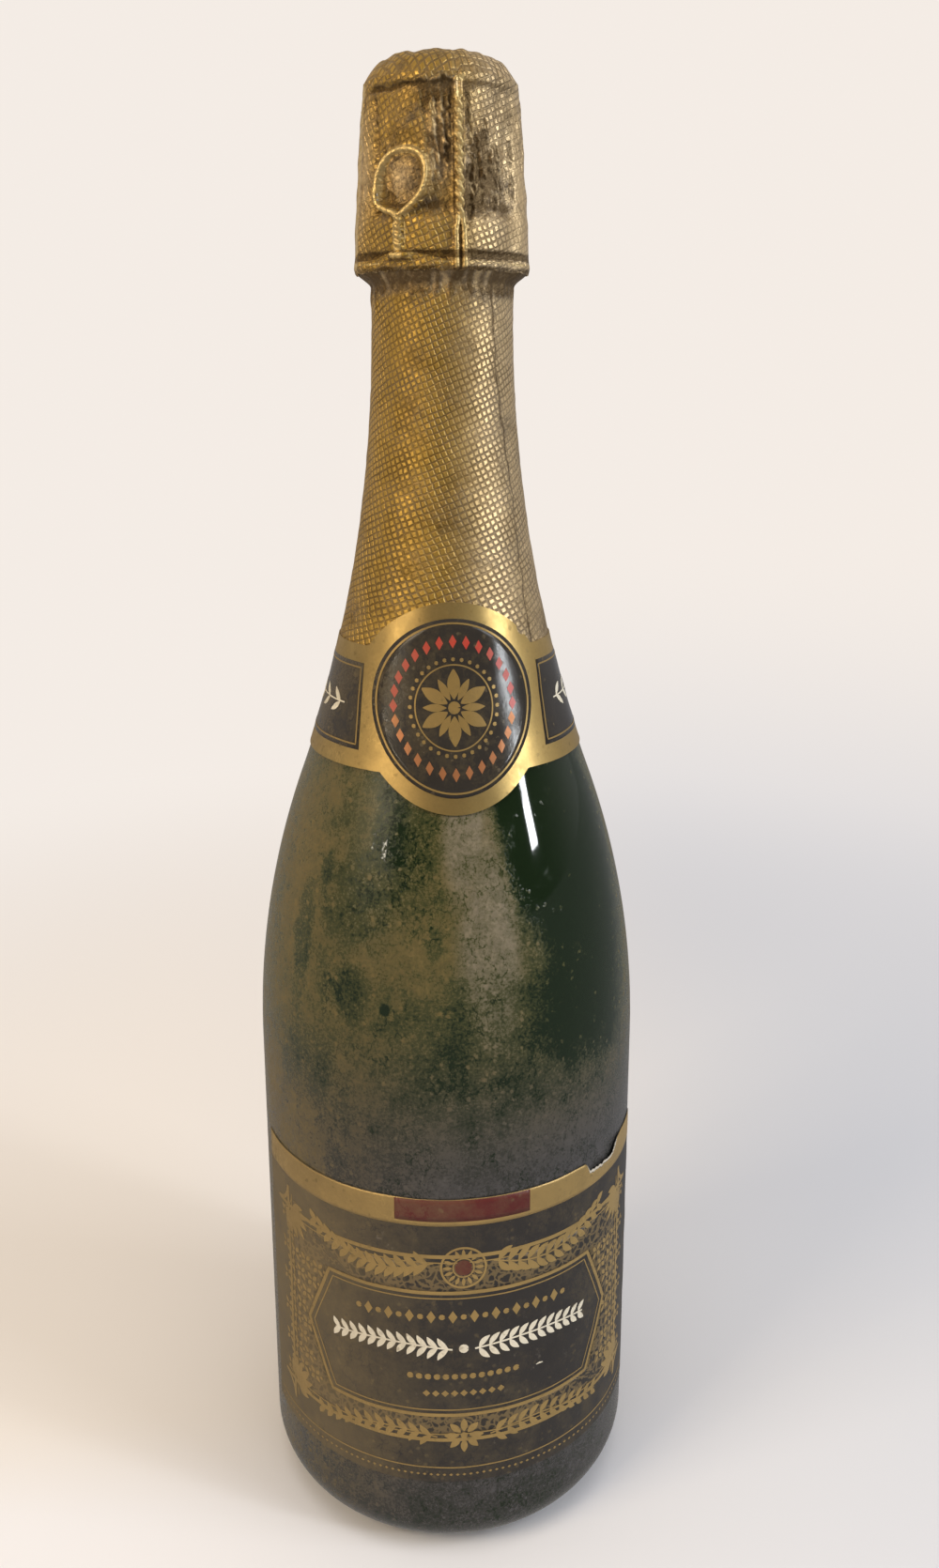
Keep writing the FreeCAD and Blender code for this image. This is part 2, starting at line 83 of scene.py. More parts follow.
MOTTLE_LIGHT = (0.95, 0.95, 0.95, 1.0)
PLAIN_COVER = 0.575
# Azimuth, height, half azimuth, half height and raggedness of each patch, then its change of cover
WIPED = (
    (45, 164, 31, 52, 0.45, -0.8), (-24, 172, 17, 22, 0.8, -0.24), (-24, 174, 8, 10, 0.9, -0.36),
    (21, 178, 9, 20, 0.5, -0.45), (8, 126, 30, 22, 0.9, -0.3), (-53, 148, 5, 17, 2.6, -0.26),
    (-41, 158, 8, 11, 2.2, -0.2), (-22, 137, 1.5, 1.4, 1.6, -0.6), (-48, 120, 12, 10, 1.5, -0.22),
    (-60, 170, 16, 26, 0.8, 0.1), (-60, 118, 20, 44, 0.8, 0.12), (50, 4, 100, 24, 0.4, -0.25),
    (-46, 163, 5, 6, 2.4, -0.3), (-8, 151, 3, 5, 2.2, -0.25), (-34, 139, 7, 7, 1.7, -0.3),
    (122, 140, 18, 36, 1.3, -0.4), (-122, 96, 15, 28, 1.4, -0.35), (154, 158, 16, 24, 1.3, -0.4),
    (-148, 66, 20, 30, 1.4, -0.3), (96, 70, 14, 26, 1.5, -0.35),
)
PALE_BAND = ((2, 178, 9, 26, 0.5), (9, 150, 12, 28, 0.5))

narrowing = BODY_RADIUS - NECK_RADIUS
arc_rise = NECK_HEIGHT - SHOULDER_HEIGHT
arc_sum = (arc_rise ** 2 + narrowing ** 2) / (2 * narrowing)
neck_arc = arc_sum - SHOULDER_ARC
shoulder_x = BODY_RADIUS - SHOULDER_ARC
neck_x = NECK_RADIUS + neck_arc
bend_angle = math.degrees(math.asin(arc_rise / arc_sum))
bend_z = SHOULDER_HEIGHT + arc_rise * SHOULDER_ARC / arc_sum
punt_radius = (BEARING_INNER ** 2 + PUNT_DEPTH ** 2) / (2 * PUNT_DEPTH)
punt_z = PUNT_DEPTH - punt_radius
punt_rim = math.degrees(math.asin(-punt_z / punt_radius))


def glass_radius(z):
    """Outside radius at a height: heel arc, straight wall, convex shoulder arc, concave neck arc."""
    z = np.asarray(z, float)
    low = np.clip(HEEL_RADIUS - z, 0, HEEL_RADIUS)
    heel = BODY_RADIUS - HEEL_RADIUS + np.sqrt(HEEL_RADIUS ** 2 - low ** 2)
    over = np.clip(z - SHOULDER_HEIGHT, 0, SHOULDER_ARC)
    shoulder = shoulder_x + np.sqrt(SHOULDER_ARC ** 2 - over ** 2)
    under = np.clip(NECK_HEIGHT - z, 0, neck_arc)
    neck = neck_x - np.sqrt(neck_arc ** 2 - under ** 2)
    return np.where(z < SHOULDER_HEIGHT, heel, np.where(z < bend_z, shoulder, neck))


def arc(x, z, radius, first, last, count):
    """Points of a circle in the (radius, height) plane between two angles in degrees."""
    turn = np.radians(np.linspace(first, last, count))
    return np.stack([x + radius * np.cos(turn), z + radius * np.sin(turn)], -1)


def line(x0, z0, x1, z1, count):
    """Evenly spaced points of a straight run, without its last point."""
    share = np.linspace(0, 1, count, endpoint=False)
    return np.stack([x0 + (x1 - x0) * share, z0 + (z1 - z0) * share], -1)


def turned(outline, columns):
    """Outline of (radius, height) points carried round the axis, as a grid of points."""
    around = np.linspace(-math.pi, math.pi, columns + 1)
    radius = outline[:, 0, None]
    height = np.broadcast_to(outline[:, 1, None], (len(outline), columns + 1))
    return np.stack([radius * np.sin(around), -radius * np.cos(around), height], -1)


def piece(name, grids, uvs=None, closed=True, crease=40.0, **values):
    """Object from grids of points: each cell is a face, and points in one place are merged.

    uvs are flat coordinates for each grid, values are named numbers for each point of each grid.
    """
    faces = []
    start = 0
    for grid in grids:
        rows, columns = grid.shape[:2]
        spot = start + np.arange(rows * columns).reshape(rows, columns)
        cell = [spot[:-1, :-1], spot[:-1, 1:], spot[1:, 1:], spot[1:, :-1]]
        faces.append(np.stack(cell, -1).reshape(-1, 4))
        start += rows * columns
    points = np.concatenate([grid.reshape(-1, 3) for grid in grids]) / 1000.0
    mesh = bpy.data.meshes.new(name)
    mesh.from_pydata(points.tolist(), [], np.concatenate(faces).tolist())
    if uvs is not None:
        flat = np.concatenate([uv.reshape(-1, 2) for uv in uvs]).astype(np.float32)
        corner = np.zeros(len(mesh.loops), np.int32)
        mesh.loops.foreach_get("vertex_index", corner)
        mesh.uv_layers.new(name="flat").data.foreach_set("uv", flat[corner].ravel())
    for label, parts in values.items():
        held = np.concatenate([part.ravel() for part in parts]).astype(np.float32)
        mesh.attributes.new(label, "FLOAT", "POINT").data.foreach_set("value", held)
    solid = bmesh.new()
    solid.from_mesh(mesh)
    bmesh.ops.remove_doubles(solid, verts=solid.verts, dist=2e-6)
    if closed and solid.calc_volume(signed=True) < 0:
        bmesh.ops.reverse_faces(solid, faces=solid.faces)
    solid.to_mesh(mesh)
    solid.free()
    mesh.shade_smooth()
    mesh.set_sharp_from_angle(angle=math.radians(crease))
    made = bpy.data.objects.new(name, mesh)
    bpy.context.scene.collection.objects.link(made)
    return made


def fit(made, material, body, node):
    """Finish of a piece, the body that it rides on and the solid that it stands for."""
    made.data.materials.append(material)
    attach(made, body)
    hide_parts(node)


def shade(tree, kind, sockets=None, **settings):
    """Adds a shader node; sockets maps inputs to plain values or to other nodes' outputs."""
    node = tree.nodes.new("ShaderNode" + kind)
    for key, value in settings.items():
        setattr(node, key, value)
    for key, value in (sockets or {}).items():
        if isinstance(value, bpy.types.NodeSocket):
            tree.links.new(value, node.inputs[key])
        else:
            node.inputs[key].default_value = value
    return node


def reckon(tree, operation, *terms):
    """Result of one sum on numbers or sockets."""
    return shade(tree, "Math", dict(enumerate(terms)), operation=operation).outputs[0]


def eased(tree, value, low, high):
    """Smooth step from 0 at low to 1 at high."""
    limits = {"Value": value, "From Min": low, "From Max": high, "To Min": 0.0, "To Max": 1.0}
    return shade(tree, "MapRange", limits, interpolation_type="SMOOTHSTEP").outputs["Result"]


def mixed(tree, share, first, second, blend="MIX"):
    """Colour between two colours."""
    node = shade(tree, "Mix", {0: share, 6: first, 7: second}, data_type="RGBA", blend_type=blend)
    return node.outputs[2]


def between(tree, share, first, second):
    """Number between two numbers."""
    return shade(tree, "Mix", {0: share, 2: first, 3: second}, data_type="FLOAT").outputs[0]


def noise(tree, vector, scale, detail=3.0, rough=0.55):
    """Cloudy value from 0 to 1; scale is in clouds for each metre."""
    wanted = {"Vector": vector, "Scale": scale, "Detail": detail, "Roughness": rough}
    return shade(tree, "TexNoise", wanted).outputs["Fac"]


def sway(tree, vector, scale, detail=3.0, rough=0.55):
    """Cloudy value about zero."""
    return reckon(tree, "SUBTRACT", noise(tree, vector, scale, detail, rough), 0.5)


def stretched(tree, vector, upright):
    """Coordinates drawn out along the height by a factor."""
    return shade(tree, "VectorMath", {0: vector, 1: (1.0, 1.0, upright)}, operation="MULTIPLY").outputs[0]


def stirred(tree, vector, scale, shift):
    """Coordinates pushed about by a fine noise, by up to a shift in metres."""
    push = shade(tree, "TexNoise", {"Vector": vector, "Scale": scale, "Detail": 2.0}).outputs["Color"]
    wanted = {0: push, 1: (shift, shift, shift), 2: vector}
    return shade(tree, "VectorMath", wanted, operation="MULTIPLY_ADD").outputs[0]


def cells(tree, vector, scale):
    """Scattered cells: a number for each cell, and the distance from its middle."""
    cell = shade(tree, "TexVoronoi", {"Vector": vector, "Scale": scale, "Randomness": 1.0}).outputs
    return shade(tree, "SeparateColor", {0: cell["Color"]}).outputs[0], cell["Distance"]


def cell_edge(tree, vector, scale):
    """Distance from the edges of scattered cells."""
    wanted = {"Vector": vector, "Scale": scale}
    return shade(tree, "TexVoronoi", wanted, feature="DISTANCE_TO_EDGE").outputs["Distance"]


def group(name, takes, gives):
    """Empty node group, with its way in and its way out."""
    made = bpy.data.node_groups.new(name, "ShaderNodeTree")
    for label, kind in takes.items():
        made.interface.new_socket(label, in_out="INPUT", socket_type="NodeSocket" + kind)
    made.interface.new_socket(gives, in_out="OUTPUT", socket_type="NodeSocketFloat")
    return made, made.nodes.new("NodeGroupInput").outputs, made.nodes.new("NodeGroupOutput").inputs[0]


def new_material(name):
    """Empty material; returns it, its nodes and the piece's own coordinates."""
    material = bpy.data.materials.new(name)
    material.use_nodes = True
    tree = material.node_tree
    tree.nodes.clear()
    return material, tree, shade(tree, "TexCoord").outputs["Object"]


def paint(tree, sockets, relief=None, strength=0.0, distance=0.0):
    """Principled shader of a material, with fine relief from a height where one is given."""
    surface = shade(tree, "BsdfPrincipled", sockets)
    if relief is not None:
        wanted = {"Height": relief, "Strength": strength, "Distance": distance}
        tree.links.new(shade(tree, "Bump", wanted).outputs[0], surface.inputs["Normal"])
    end = shade(tree, "OutputMaterial", {"Surface": surface.outputs[0]})
    end.is_active_output = True


def patch_group():
    """Ragged round patch on the bottle, by azimuth in degrees and height in metres."""
    takes = dict.fromkeys(("Azimuth", "Height", "Half Azimuth", "Half Height", "Ragged"), "Float")
    made, given, out = group("patch on the bottle", {"Vector": "Vector"} | takes, "Mask")
    place = shade(made, "SeparateXYZ", {0: given["Vector"]}).outputs
    front = reckon(made, "MULTIPLY", place["Y"], -1.0)
    turn = reckon(made, "MULTIPLY", reckon(made, "ARCTAN2", place["X"], front), 180 / math.pi)
    off = reckon(made, "SUBTRACT", turn, given["Azimuth"])
    across = reckon(made, "DIVIDE", off, given["Half Azimuth"])
    rise = reckon(made, "SUBTRACT", place["Z"], given["Height"])
    up = reckon(made, "DIVIDE", rise, given["Half Height"])
    square = reckon(made, "MULTIPLY_ADD", across, across, reckon(made, "MULTIPLY", up, up))
    cloud = sway(made, given["Vector"], 60.0, 6.0, 0.65)
    reach = reckon(made, "MULTIPLY_ADD", cloud, given["Ragged"], reckon(made, "SQRT", square))
    made.links.new(eased(made, reach, 1.1, 0.5), out)
    return made


def dust_group():
    """Dust film: clouds, blots, runs down the side, fine grain, specks and fibres about a cover."""
    takes = {"Vector": "Vector", "Cover": "Float", "Grain": "Float"}
    made, given, out = group("dust film", takes, "Mask")
    vector = given["Vector"]
    cloud = sway(made, vector, 38.0, 7.0, 0.68)
    runs = sway(made, stretched(made, vector, 0.16), 150.0, 4.0)
    grain = sway(made, vector, 1500.0, 4.0, 0.75)
    blots = sway(made, vector, 210.0, 5.0, 0.7)
    tone, away = cells(made, stirred(made, vector, 900.0, 0.0012), 520.0)
    speck = reckon(made, "MULTIPLY", eased(made, away, 0.34, 0.14), eased(made, tone, 0.7, 0.75))
    bent = reckon(made, "ABSOLUTE", sway(made, stretched(made, vector, 0.7), 330.0, 3.0, 0.6))
    in_places = eased(made, noise(made, vector, 70.0, 3.0), 0.44, 0.6)
    fibre = reckon(made, "MULTIPLY", eased(made, bent, 0.035, 0.0), in_places)
    total = given["Cover"]
    for part, weight in (
        (cloud, 0.85), (fibre, -0.32), (blots, 0.95), (runs, 0.35), (grain, given["Grain"]), (speck, 0.4),
    ):
        total = reckon(made, "MULTIPLY_ADD", part, weight, total)
    made.links.new(shade(made, "Clamp", {0: total}).outputs[0], out)
    return made


patches = patch_group()
dust_film = dust_group()


def patch(tree, vector, azimuth, height, half_azimuth, half_height, ragged):
    """Mask of one ragged patch, heights in millimetres."""
    wanted = {"Vector": vector, "Azimuth": azimuth, "Height": height / 1000, "Ragged": ragged,
              "Half Azimuth": half_azimuth, "Half Height": half_height / 1000}
    return shade(tree, "Group", wanted, node_tree=patches).outputs[0]


def dust(tree, vector, cover, grain):
    """Mask of the dust film."""
    wanted = {"Vector": vector, "Cover": cover, "Grain": grain}
    return shade(tree, "Group", wanted, node_tree=dust_film).outputs[0]


def inside_outline(inset, floor, heel, bore):
    """Inner outline from the foot of the bore down the wall and over the punt to the axis."""
    inner_x = shoulder_x + (neck_x - shoulder_x) * (SHOULDER_ARC - inset) / arc_sum
    inner_z = SHOULDER_HEIGHT + arc_rise * (SHOULDER_ARC - inset) / arc_sum
    swell = inner_x - bore
    drop = NECK_HEIGHT - inner_z
    radius = (swell ** 2 + drop ** 2) / (2 * swell)
    heel_x = BODY_RADIUS - inset - heel
    dome = punt_radius + floor
    heel_z = punt_z + math.sqrt((dome + heel) ** 2 - heel_x ** 2)
    lean = math.degrees(math.atan2(heel_z - punt_z, heel_x))
    low_turn = math.degrees(math.asin(drop / radius))
    return np.concatenate([
        arc(bore + radius, NECK_HEIGHT, radius, 180, 180 + low_turn, NECK_STEPS),
        arc(shoulder_x, SHOULDER_HEIGHT, SHOULDER_ARC - inset, bend_angle, 0, 24),
        arc(heel_x, heel_z, heel, 0, lean - 180, 16),
        arc(0, punt_z, dome, lean, 90, 20),
    ])


glass_outline = np.concatenate([
    arc(0, punt_z, punt_radius, 90, punt_rim, 24),
    line(BEARING_INNER, 0, BODY_RADIUS - HEEL_RADIUS, 0, 3),
    arc(BODY_RADIUS - HEEL_RADIUS, HEEL_RADIUS, HEEL_RADIUS, -90, 0, 20),
    line(BODY_RADIUS, HEEL_RADIUS + 1.5, BODY_RADIUS, SHOULDER_HEIGHT, 16),
    arc(shoulder_x, SHOULDER_HEIGHT, SHOULDER_ARC, 0, bend_angle, 36),
    arc(neck_x, NECK_HEIGHT, neck_arc, 180 + bend_angle, 180, 50),
    [(NECK_RADIUS, NECK_MIDDLE), (NECK_RADIUS, RING_LOW), (RING_RADIUS, RING_LOW + RING_BEVEL)],
    [(RING_RADIUS, RING_HIGH - RING_BEVEL), (RING_RADIUS - RING_BEVEL, RING_HIGH)],
    [(GROOVE_RADIUS, RING_HIGH), (GROOVE_RADIUS, LIP_LOW), (LIP_RADIUS, LIP_LOW + LIP_ROUND)],
    arc(LIP_RADIUS - LIP_ROUND, GLASS_HEIGHT - LIP_ROUND, LIP_ROUND, 0, 90, 6),
    arc(BORE_RADIUS + LIP_ROUND, GLASS_HEIGHT - LIP_ROUND, LIP_ROUND, 90, 180, 6),
    [(BORE_RADIUS, BORE_MIDDLE)],
    inside_outline(GLASS_WALL, BASE_WALL, INNER_HEEL, BORE_RADIUS),
])
glass = piece("bottle_glass", [turned(glass_outline, 168)])

glass_material, tree, vector = new_material("dusty green glass")
cover = PLAIN_COVER
for *spot, change in WIPED:
    cover = reckon(tree, "MULTIPLY_ADD", patch(tree, vector, *spot), change, cover)
pale = reckon(tree, "MAXIMUM", *[patch(tree, vector, *spot) for spot in PALE_BAND])
cover = reckon(tree, "MULTIPLY_ADD", pale, 0.2, cover)
place = shade(tree, "SeparateXYZ", {0: vector}).outputs
under_foil = eased(tree, place["Z"], 0.276, 0.284)
film = dust(tree, vector, reckon(tree, "MULTIPLY_ADD", under_foil, -1.1, cover), 1.5)
low_down = eased(tree, place["Z"], 0.138, 0.092)
low_right = reckon(tree, "MULTIPLY", low_down, eased(tree, place["X"], -0.045, 0.0))
dust_colour = mixed(tree, pale, mixed(tree, low_right, DUST_BROWN, DUST_GREY), DUST_PALE)
mottle = mixed(tree, noise(tree, vector, 620.0, 5.0, 0.75), MOTTLE_DARK, MOTTLE_LIGHT)
dust_colour = mixed(tree, 0.7, dust_colour, mottle, "OVERLAY")
thin_colour = mixed(tree, low_down, THIN_DUST, THIN_GREY)
veil = mixed(tree, eased(tree, film, 0.0, 0.45), GLASS_GREEN, thin_colour)
thick = reckon(tree, "MULTIPLY", eased(tree, film, 0.25, 1.0), 0.9)
paint(tree, {
    "Base Color": mixed(tree, thick, veil, dust_colour), "Roughness": between(tree, film, 0.05, 0.5),
    "Specular IOR Level": 0.32, "Transmission Weight": 0.12, "Sheen Weight": 0.03, "IOR": 1.52,
}, film, 0.25, 0.0002)
fit(glass, glass_material, "bottle", "glass_bottle")

# Wine
# Seventy-five centilitres of pale gold wine, which fill the glass to a level in the neck and lie
# against its inner wall. It shows only as a deeper tone through clean glass.
FILL_LEVEL = 224.7
FILL_GAP = 0.05
WINE_GOLD = (0.82, 0.66, 0.3, 1.0)
WINE_DEEP = (0.76, 0.58, 0.24, 1.0)
body_outline = inside_outline(
    GLASS_WALL + FILL_GAP, BASE_WALL + FILL_GAP, INNER_HEEL - FILL_GAP, BORE_RADIUS - FILL_GAP
)
below = body_outline[body_outline[:, 1] < FILL_LEVEL]
neck_run = body_outline[:NECK_STEPS][::-1]
level_radius = float(np.interp(FILL_LEVEL, neck_run[:, 1], neck_run[:, 0]))
wine_outline = np.concatenate([[(0.0, FILL_LEVEL), (level_radius, FILL_LEVEL)], below])
wine = piece("wine_body", [turned(wine_outline, 96)])
wine_material, tree, vector = new_material("pale wine")
wine_colour = mixed(tree, noise(tree, vector, 30.0, 2.0), WINE_GOLD, WINE_DEEP)
paint(tree, {"Base Color": wine_colour, "Roughness": 0.02, "Transmission Weight": 1.0, "IOR": 1.345})
fit(wine, wine_material, "bottle", "wine")

# Cork
# A shank pressed from cork grains fills the bore, swells to a head above the lip, and has two
# discs of whole cork glued under it, which meet the wine.
SHANK_RADIUS = 8.96
SHANK_LOW = 289.5
HEAD_FOOT = 12.2
HEAD_RADIUS = 14.3
HEAD_FULL = 308.5
HEAD_EDGE = 321.95
HEAD_ROUND = 3.0
HEAD_CENTRE = 288.67
DOME_RADIUS = 38.0
DOME_TURN = 72.7
DISC_THICK = 6.0
DISC_ROUND = 0.3
CORK_PALE = (0.56, 0.37, 0.19, 1.0)
CORK_DARK = (0.2, 0.1, 0.045, 1.0)
cork_outline = np.concatenate([
    line(0, SHANK_LOW, SHANK_RADIUS, SHANK_LOW, 6),
    line(SHANK_RADIUS, SHANK_LOW, SHANK_RADIUS, GLASS_HEIGHT, 8),
    line(SHANK_RADIUS, GLASS_HEIGHT, HEAD_FOOT, GLASS_HEIGHT, 3),
    line(HEAD_FOOT, GLASS_HEIGHT, HEAD_RADIUS, HEAD_FULL, 6),
    line(HEAD_RADIUS, HEAD_FULL, HEAD_RADIUS, HEAD_EDGE, 10),
    arc(HEAD_RADIUS - HEAD_ROUND, HEAD_EDGE, HEAD_ROUND, 0, DOME_TURN, 8),
    arc(0, HEAD_CENTRE, DOME_RADIUS, DOME_TURN, 90, 10),
])
cork_grid = turned(cork_outline, 120)
cork_x, cork_y, cork_z = np.moveaxis(cork_grid, -1, 0)
in_head = np.clip((cork_z - 305) / 4, 0, 1) * np.clip((HEAD_EDGE - cork_z) / 4, 0, 1)
swell = 0.08 * np.sin(7 * np.arctan2(cork_x, -cork_y)) * in_head
cork_grid[..., :2] *= (1 + swell / HEAD_RADIUS)[..., None]
cork = piece("cork_pressed", [cork_grid])


def cork_material(name, grain_scale, stretch):
    """Cork: grains of differing tan with dark gaps between them."""
    material, tree, vector = new_material(name)
    drawn = stretched(tree, vector, stretch)
    tone, _ = cells(tree, drawn, grain_scale)
    colour = mixed(tree, reckon(tree, "MULTIPLY", tone, 0.55), CORK_PALE, CORK_DARK)
    gap = reckon(tree, "MULTIPLY", eased(tree, cell_edge(tree, drawn, grain_scale), 0.09, 0.0), 0.7)
    speck = eased(tree, noise(tree, drawn, grain_scale * 1.7, 4.0, 0.7), 0.6, 0.72)
    dark = reckon(tree, "MAXIMUM", gap, speck)
    colour = mixed(tree, dark, colour, CORK_DARK)
    sockets = {"Base Color": colour, "Roughness": between(tree, dark, 0.75, 0.95)}
    paint(tree, sockets, reckon(tree, "SUBTRACT", 1.0, dark), 0.6, 0.0003)
    return material


fit(cork, cork_material("pressed cork", 520.0, 1.0), "cork", "cork_body")
whole_cork = cork_material("whole cork", 210.0, 2.6)
for name, low in (("upper", SHANK_LOW - DISC_THICK), ("lower", SHANK_LOW - 2 * DISC_THICK)):
    disc_outline = np.concatenate([
        line(0, low, SHANK_RADIUS - DISC_ROUND, low, 5),
        arc(SHANK_RADIUS - DISC_ROUND, low + DISC_ROUND, DISC_ROUND, -90, 0, 4),
        arc(SHANK_RADIUS - DISC_ROUND, low + DISC_THICK - DISC_ROUND, DISC_ROUND, 0, 90, 4),
        [(0.0, low + DISC_THICK)],
    ])
    disc = piece(f"cork_disc_{name}_whole", [turned(disc_outline, 96)])
    fit(disc, whole_cork, "cork", f"cork_disc_{name}")

# Tin cap
# A thin stamped cap of lacquered tinplate on the cork's head, with pressed rings, which keeps the
# cage's wires from cutting into the cork.
CAP_SKIRT = 320.9
CAP_OUT = 0.4
CAP_IN = 0.05
CAP_RELIEF = 0.22
RAISED_RING = 8.2
SUNK_RING = 5.4
CAP_LACQUER = (0.5, 0.36, 0.15, 1.0)
CAP_BARE = (0.58, 0.55, 0.5, 1.0)


def bell(value, middle, wide):
    """Bell curve about a middle: 1 there, and a third a width away."""
    return np.exp(-((value - middle) / wide) ** 2)


def cap_outline(layer, relief):
    """Side, rounded edge and dome of the cap, a layer out from the cork, with stamped rings."""
    edge = arc(HEAD_RADIUS - HEAD_ROUND, HEAD_EDGE, HEAD_ROUND + layer, 0, DOME_TURN, 10)
    dome = arc(0, HEAD_CENTRE, DOME_RADIUS + layer, DOME_TURN, 90, 40)
    dome[:, 1] += relief * (bell(dome[:, 0], RAISED_RING, 0.45) - bell(dome[:, 0], SUNK_RING, 0.6))
    return np.concatenate([[(HEAD_RADIUS + layer, CAP_SKIRT)], edge, dome])


outer_cap = cap_outline(CAP_OUT, CAP_RELIEF)
cap_shell = np.concatenate([outer_cap, cap_outline(CAP_IN, 0.0)[::-1], outer_cap[:1]])
cap = piece("cap_stamped", [turned(cap_shell, 120)])
cap_material, tree, vector = new_material("lacquered tin")
rub = eased(tree, noise(tree, vector, 260.0, 5.0, 0.7), 0.52, 0.7)
cap_rough = between(tree, noise(tree, vector, 500.0, 4.0), 0.22, 0.5)
paint(tree, {"Base Color": mixed(tree, rub, CAP_LACQUER, CAP_BARE), "Roughness": cap_rough, "Metallic": 1.0})
fit(cap, cap_material, "wire_cage", "cage_cap")

# Frame wires
# Four lengths of galvanised wire: each runs up one leg, a quarter of the way round the cap's edge
# and down the next leg. The two strands of a leg are twisted together from below the cap to above
# the ring, then part, run down side by side and hook under the belt.
LEG_AZIMUTH = 8.3
LEG_TURNS = 5
TWIST_LOW = 295.5
TWIST_HIGH = 317.5
STRAND_RADIUS = 0.43
STRAND_OFFSET = 0.46
STRAND_SPREAD = 0.38
CROWN_RADIUS = 15.16
CROWN_HEIGHT = 321.45
CROWN_BEND = 1.2
CROWN_LEAD = 1.75
FOOT_RADIUS = 17.6
HOOK_HEIGHT = 285.9
HOOK_BEND = 0.9
HOOK_TIP = 15.75
WIRE_GREY = (0.55, 0.52, 0.47, 1.0)
WIRE_TARNISH = (0.2, 0.17, 0.13, 1.0)
UPWARD = np.array([0.0, 0.0, 1.0])


def smooth_step(value, low, high):
    """Smooth rise from 0 at low to 1 at high."""
    share = np.clip((value - low) / (high - low), 0, 1)
    return share * share * (3 - 2 * share)


def winding(z, low, high, turns):
    """Angle of a twist that makes its turns evenly between two heights."""
    return 2 * math.pi * turns * np.clip((z - low) / (high - low), 0, 1)


def leg_radius(z):
    """Distance of a leg's centre line from the axis at a height."""
    share = np.clip((z - HOOK_HEIGHT) / (CROWN_HEIGHT - HOOK_HEIGHT), 0, 1)
    return FOOT_RADIUS + (CROWN_RADIUS - FOOT_RADIUS) * share


def on_bottle(azimuth, radius, z):
    """Points by azimuth in radians, distance from the axis and height."""
    azimuth, radius, z = np.broadcast_arrays(azimuth, radius, z)
    return np.stack([radius * np.sin(azimuth), -radius * np.cos(azimuth), z], -1)


def strand_side(z):
    """Half the distance between a leg's strands: close in the twist, wider below it."""
    return STRAND_OFFSET + STRAND_SPREAD * smooth_step(z, TWIST_LOW, TWIST_LOW - 3.0)


def strand(azimuth, side):
    """One strand of a leg: its hook, its run round the leg's centre line and its bend to the crown."""
    low = HOOK_HEIGHT + HOOK_BEND
    high = CROWN_HEIGHT - CROWN_BEND
    z = np.concatenate([
        np.linspace(low, TWIST_LOW, 14, endpoint=False),
        np.linspace(TWIST_LOW, TWIST_HIGH, 150, endpoint=False),
        np.linspace(TWIST_HIGH, high, 16),
    ])
    wind = winding(z, TWIST_LOW, TWIST_HIGH, LEG_TURNS)
    radius = leg_radius(z) + side * STRAND_OFFSET * np.sin(wind)
    leg = on_bottle(azimuth + side * strand_side(z) * np.cos(wind) / radius, radius, z)
    foot = azimuth + side * (STRAND_OFFSET + STRAND_SPREAD) / FOOT_RADIUS
    bend = np.radians(np.linspace(-90, 0, 8, endpoint=False))
    inner = FOOT_RADIUS - HOOK_BEND
    hook = on_bottle(foot, inner + HOOK_BEND * np.cos(bend), low + HOOK_BEND * np.sin(bend))
    tip = on_bottle(foot, np.linspace(HOOK_TIP, inner, 6, endpoint=False), HOOK_HEIGHT)
    bend = np.radians(np.linspace(15, 80, 5))
    ahead = STRAND_OFFSET + CROWN_BEND * (1 - np.cos(bend))
    corner = on_bottle(azimuth + side * ahead / CROWN_RADIUS, CROWN_RADIUS, high + CROWN_BEND * np.sin(bend))
    return np.concatenate([tip, hook, leg, corner])


def ahead_of(path):
    """Direction of a path at each of its points."""
    step = np.gradient(path, axis=-2)
    return step / np.maximum(np.linalg.norm(step, axis=-1, keepdims=True), 1e-9)


def tube(path, radius, reference, sides=10):
    """Round wire along a path: rings square to it, and rounded ends.

    Each ring is turned by a reference direction, one for all or one for each point of the path.
    """
    ahead = ahead_of(path)
    first = reference - np.sum(reference * ahead, 1, keepdims=True) * ahead
    first /= np.linalg.norm(first, axis=1, keepdims=True)
    second = np.cross(ahead, first)
    turn = np.linspace(0, 2 * math.pi, sides + 1)[:, None]
    ring = first[:, None] * np.cos(turn) + second[:, None] * np.sin(turn)
    cap = np.radians([90, 60, 30])[:, None, None]
    start = path[0] + radius * (ring[:1] * np.cos(cap) - ahead[0] * np.sin(cap))
    end = path[-1] + radius * (ring[-1:] * np.cos(cap[::-1]) + ahead[-1] * np.sin(cap[::-1]))
    return np.concatenate([start, path[:, None] + radius * ring, end])


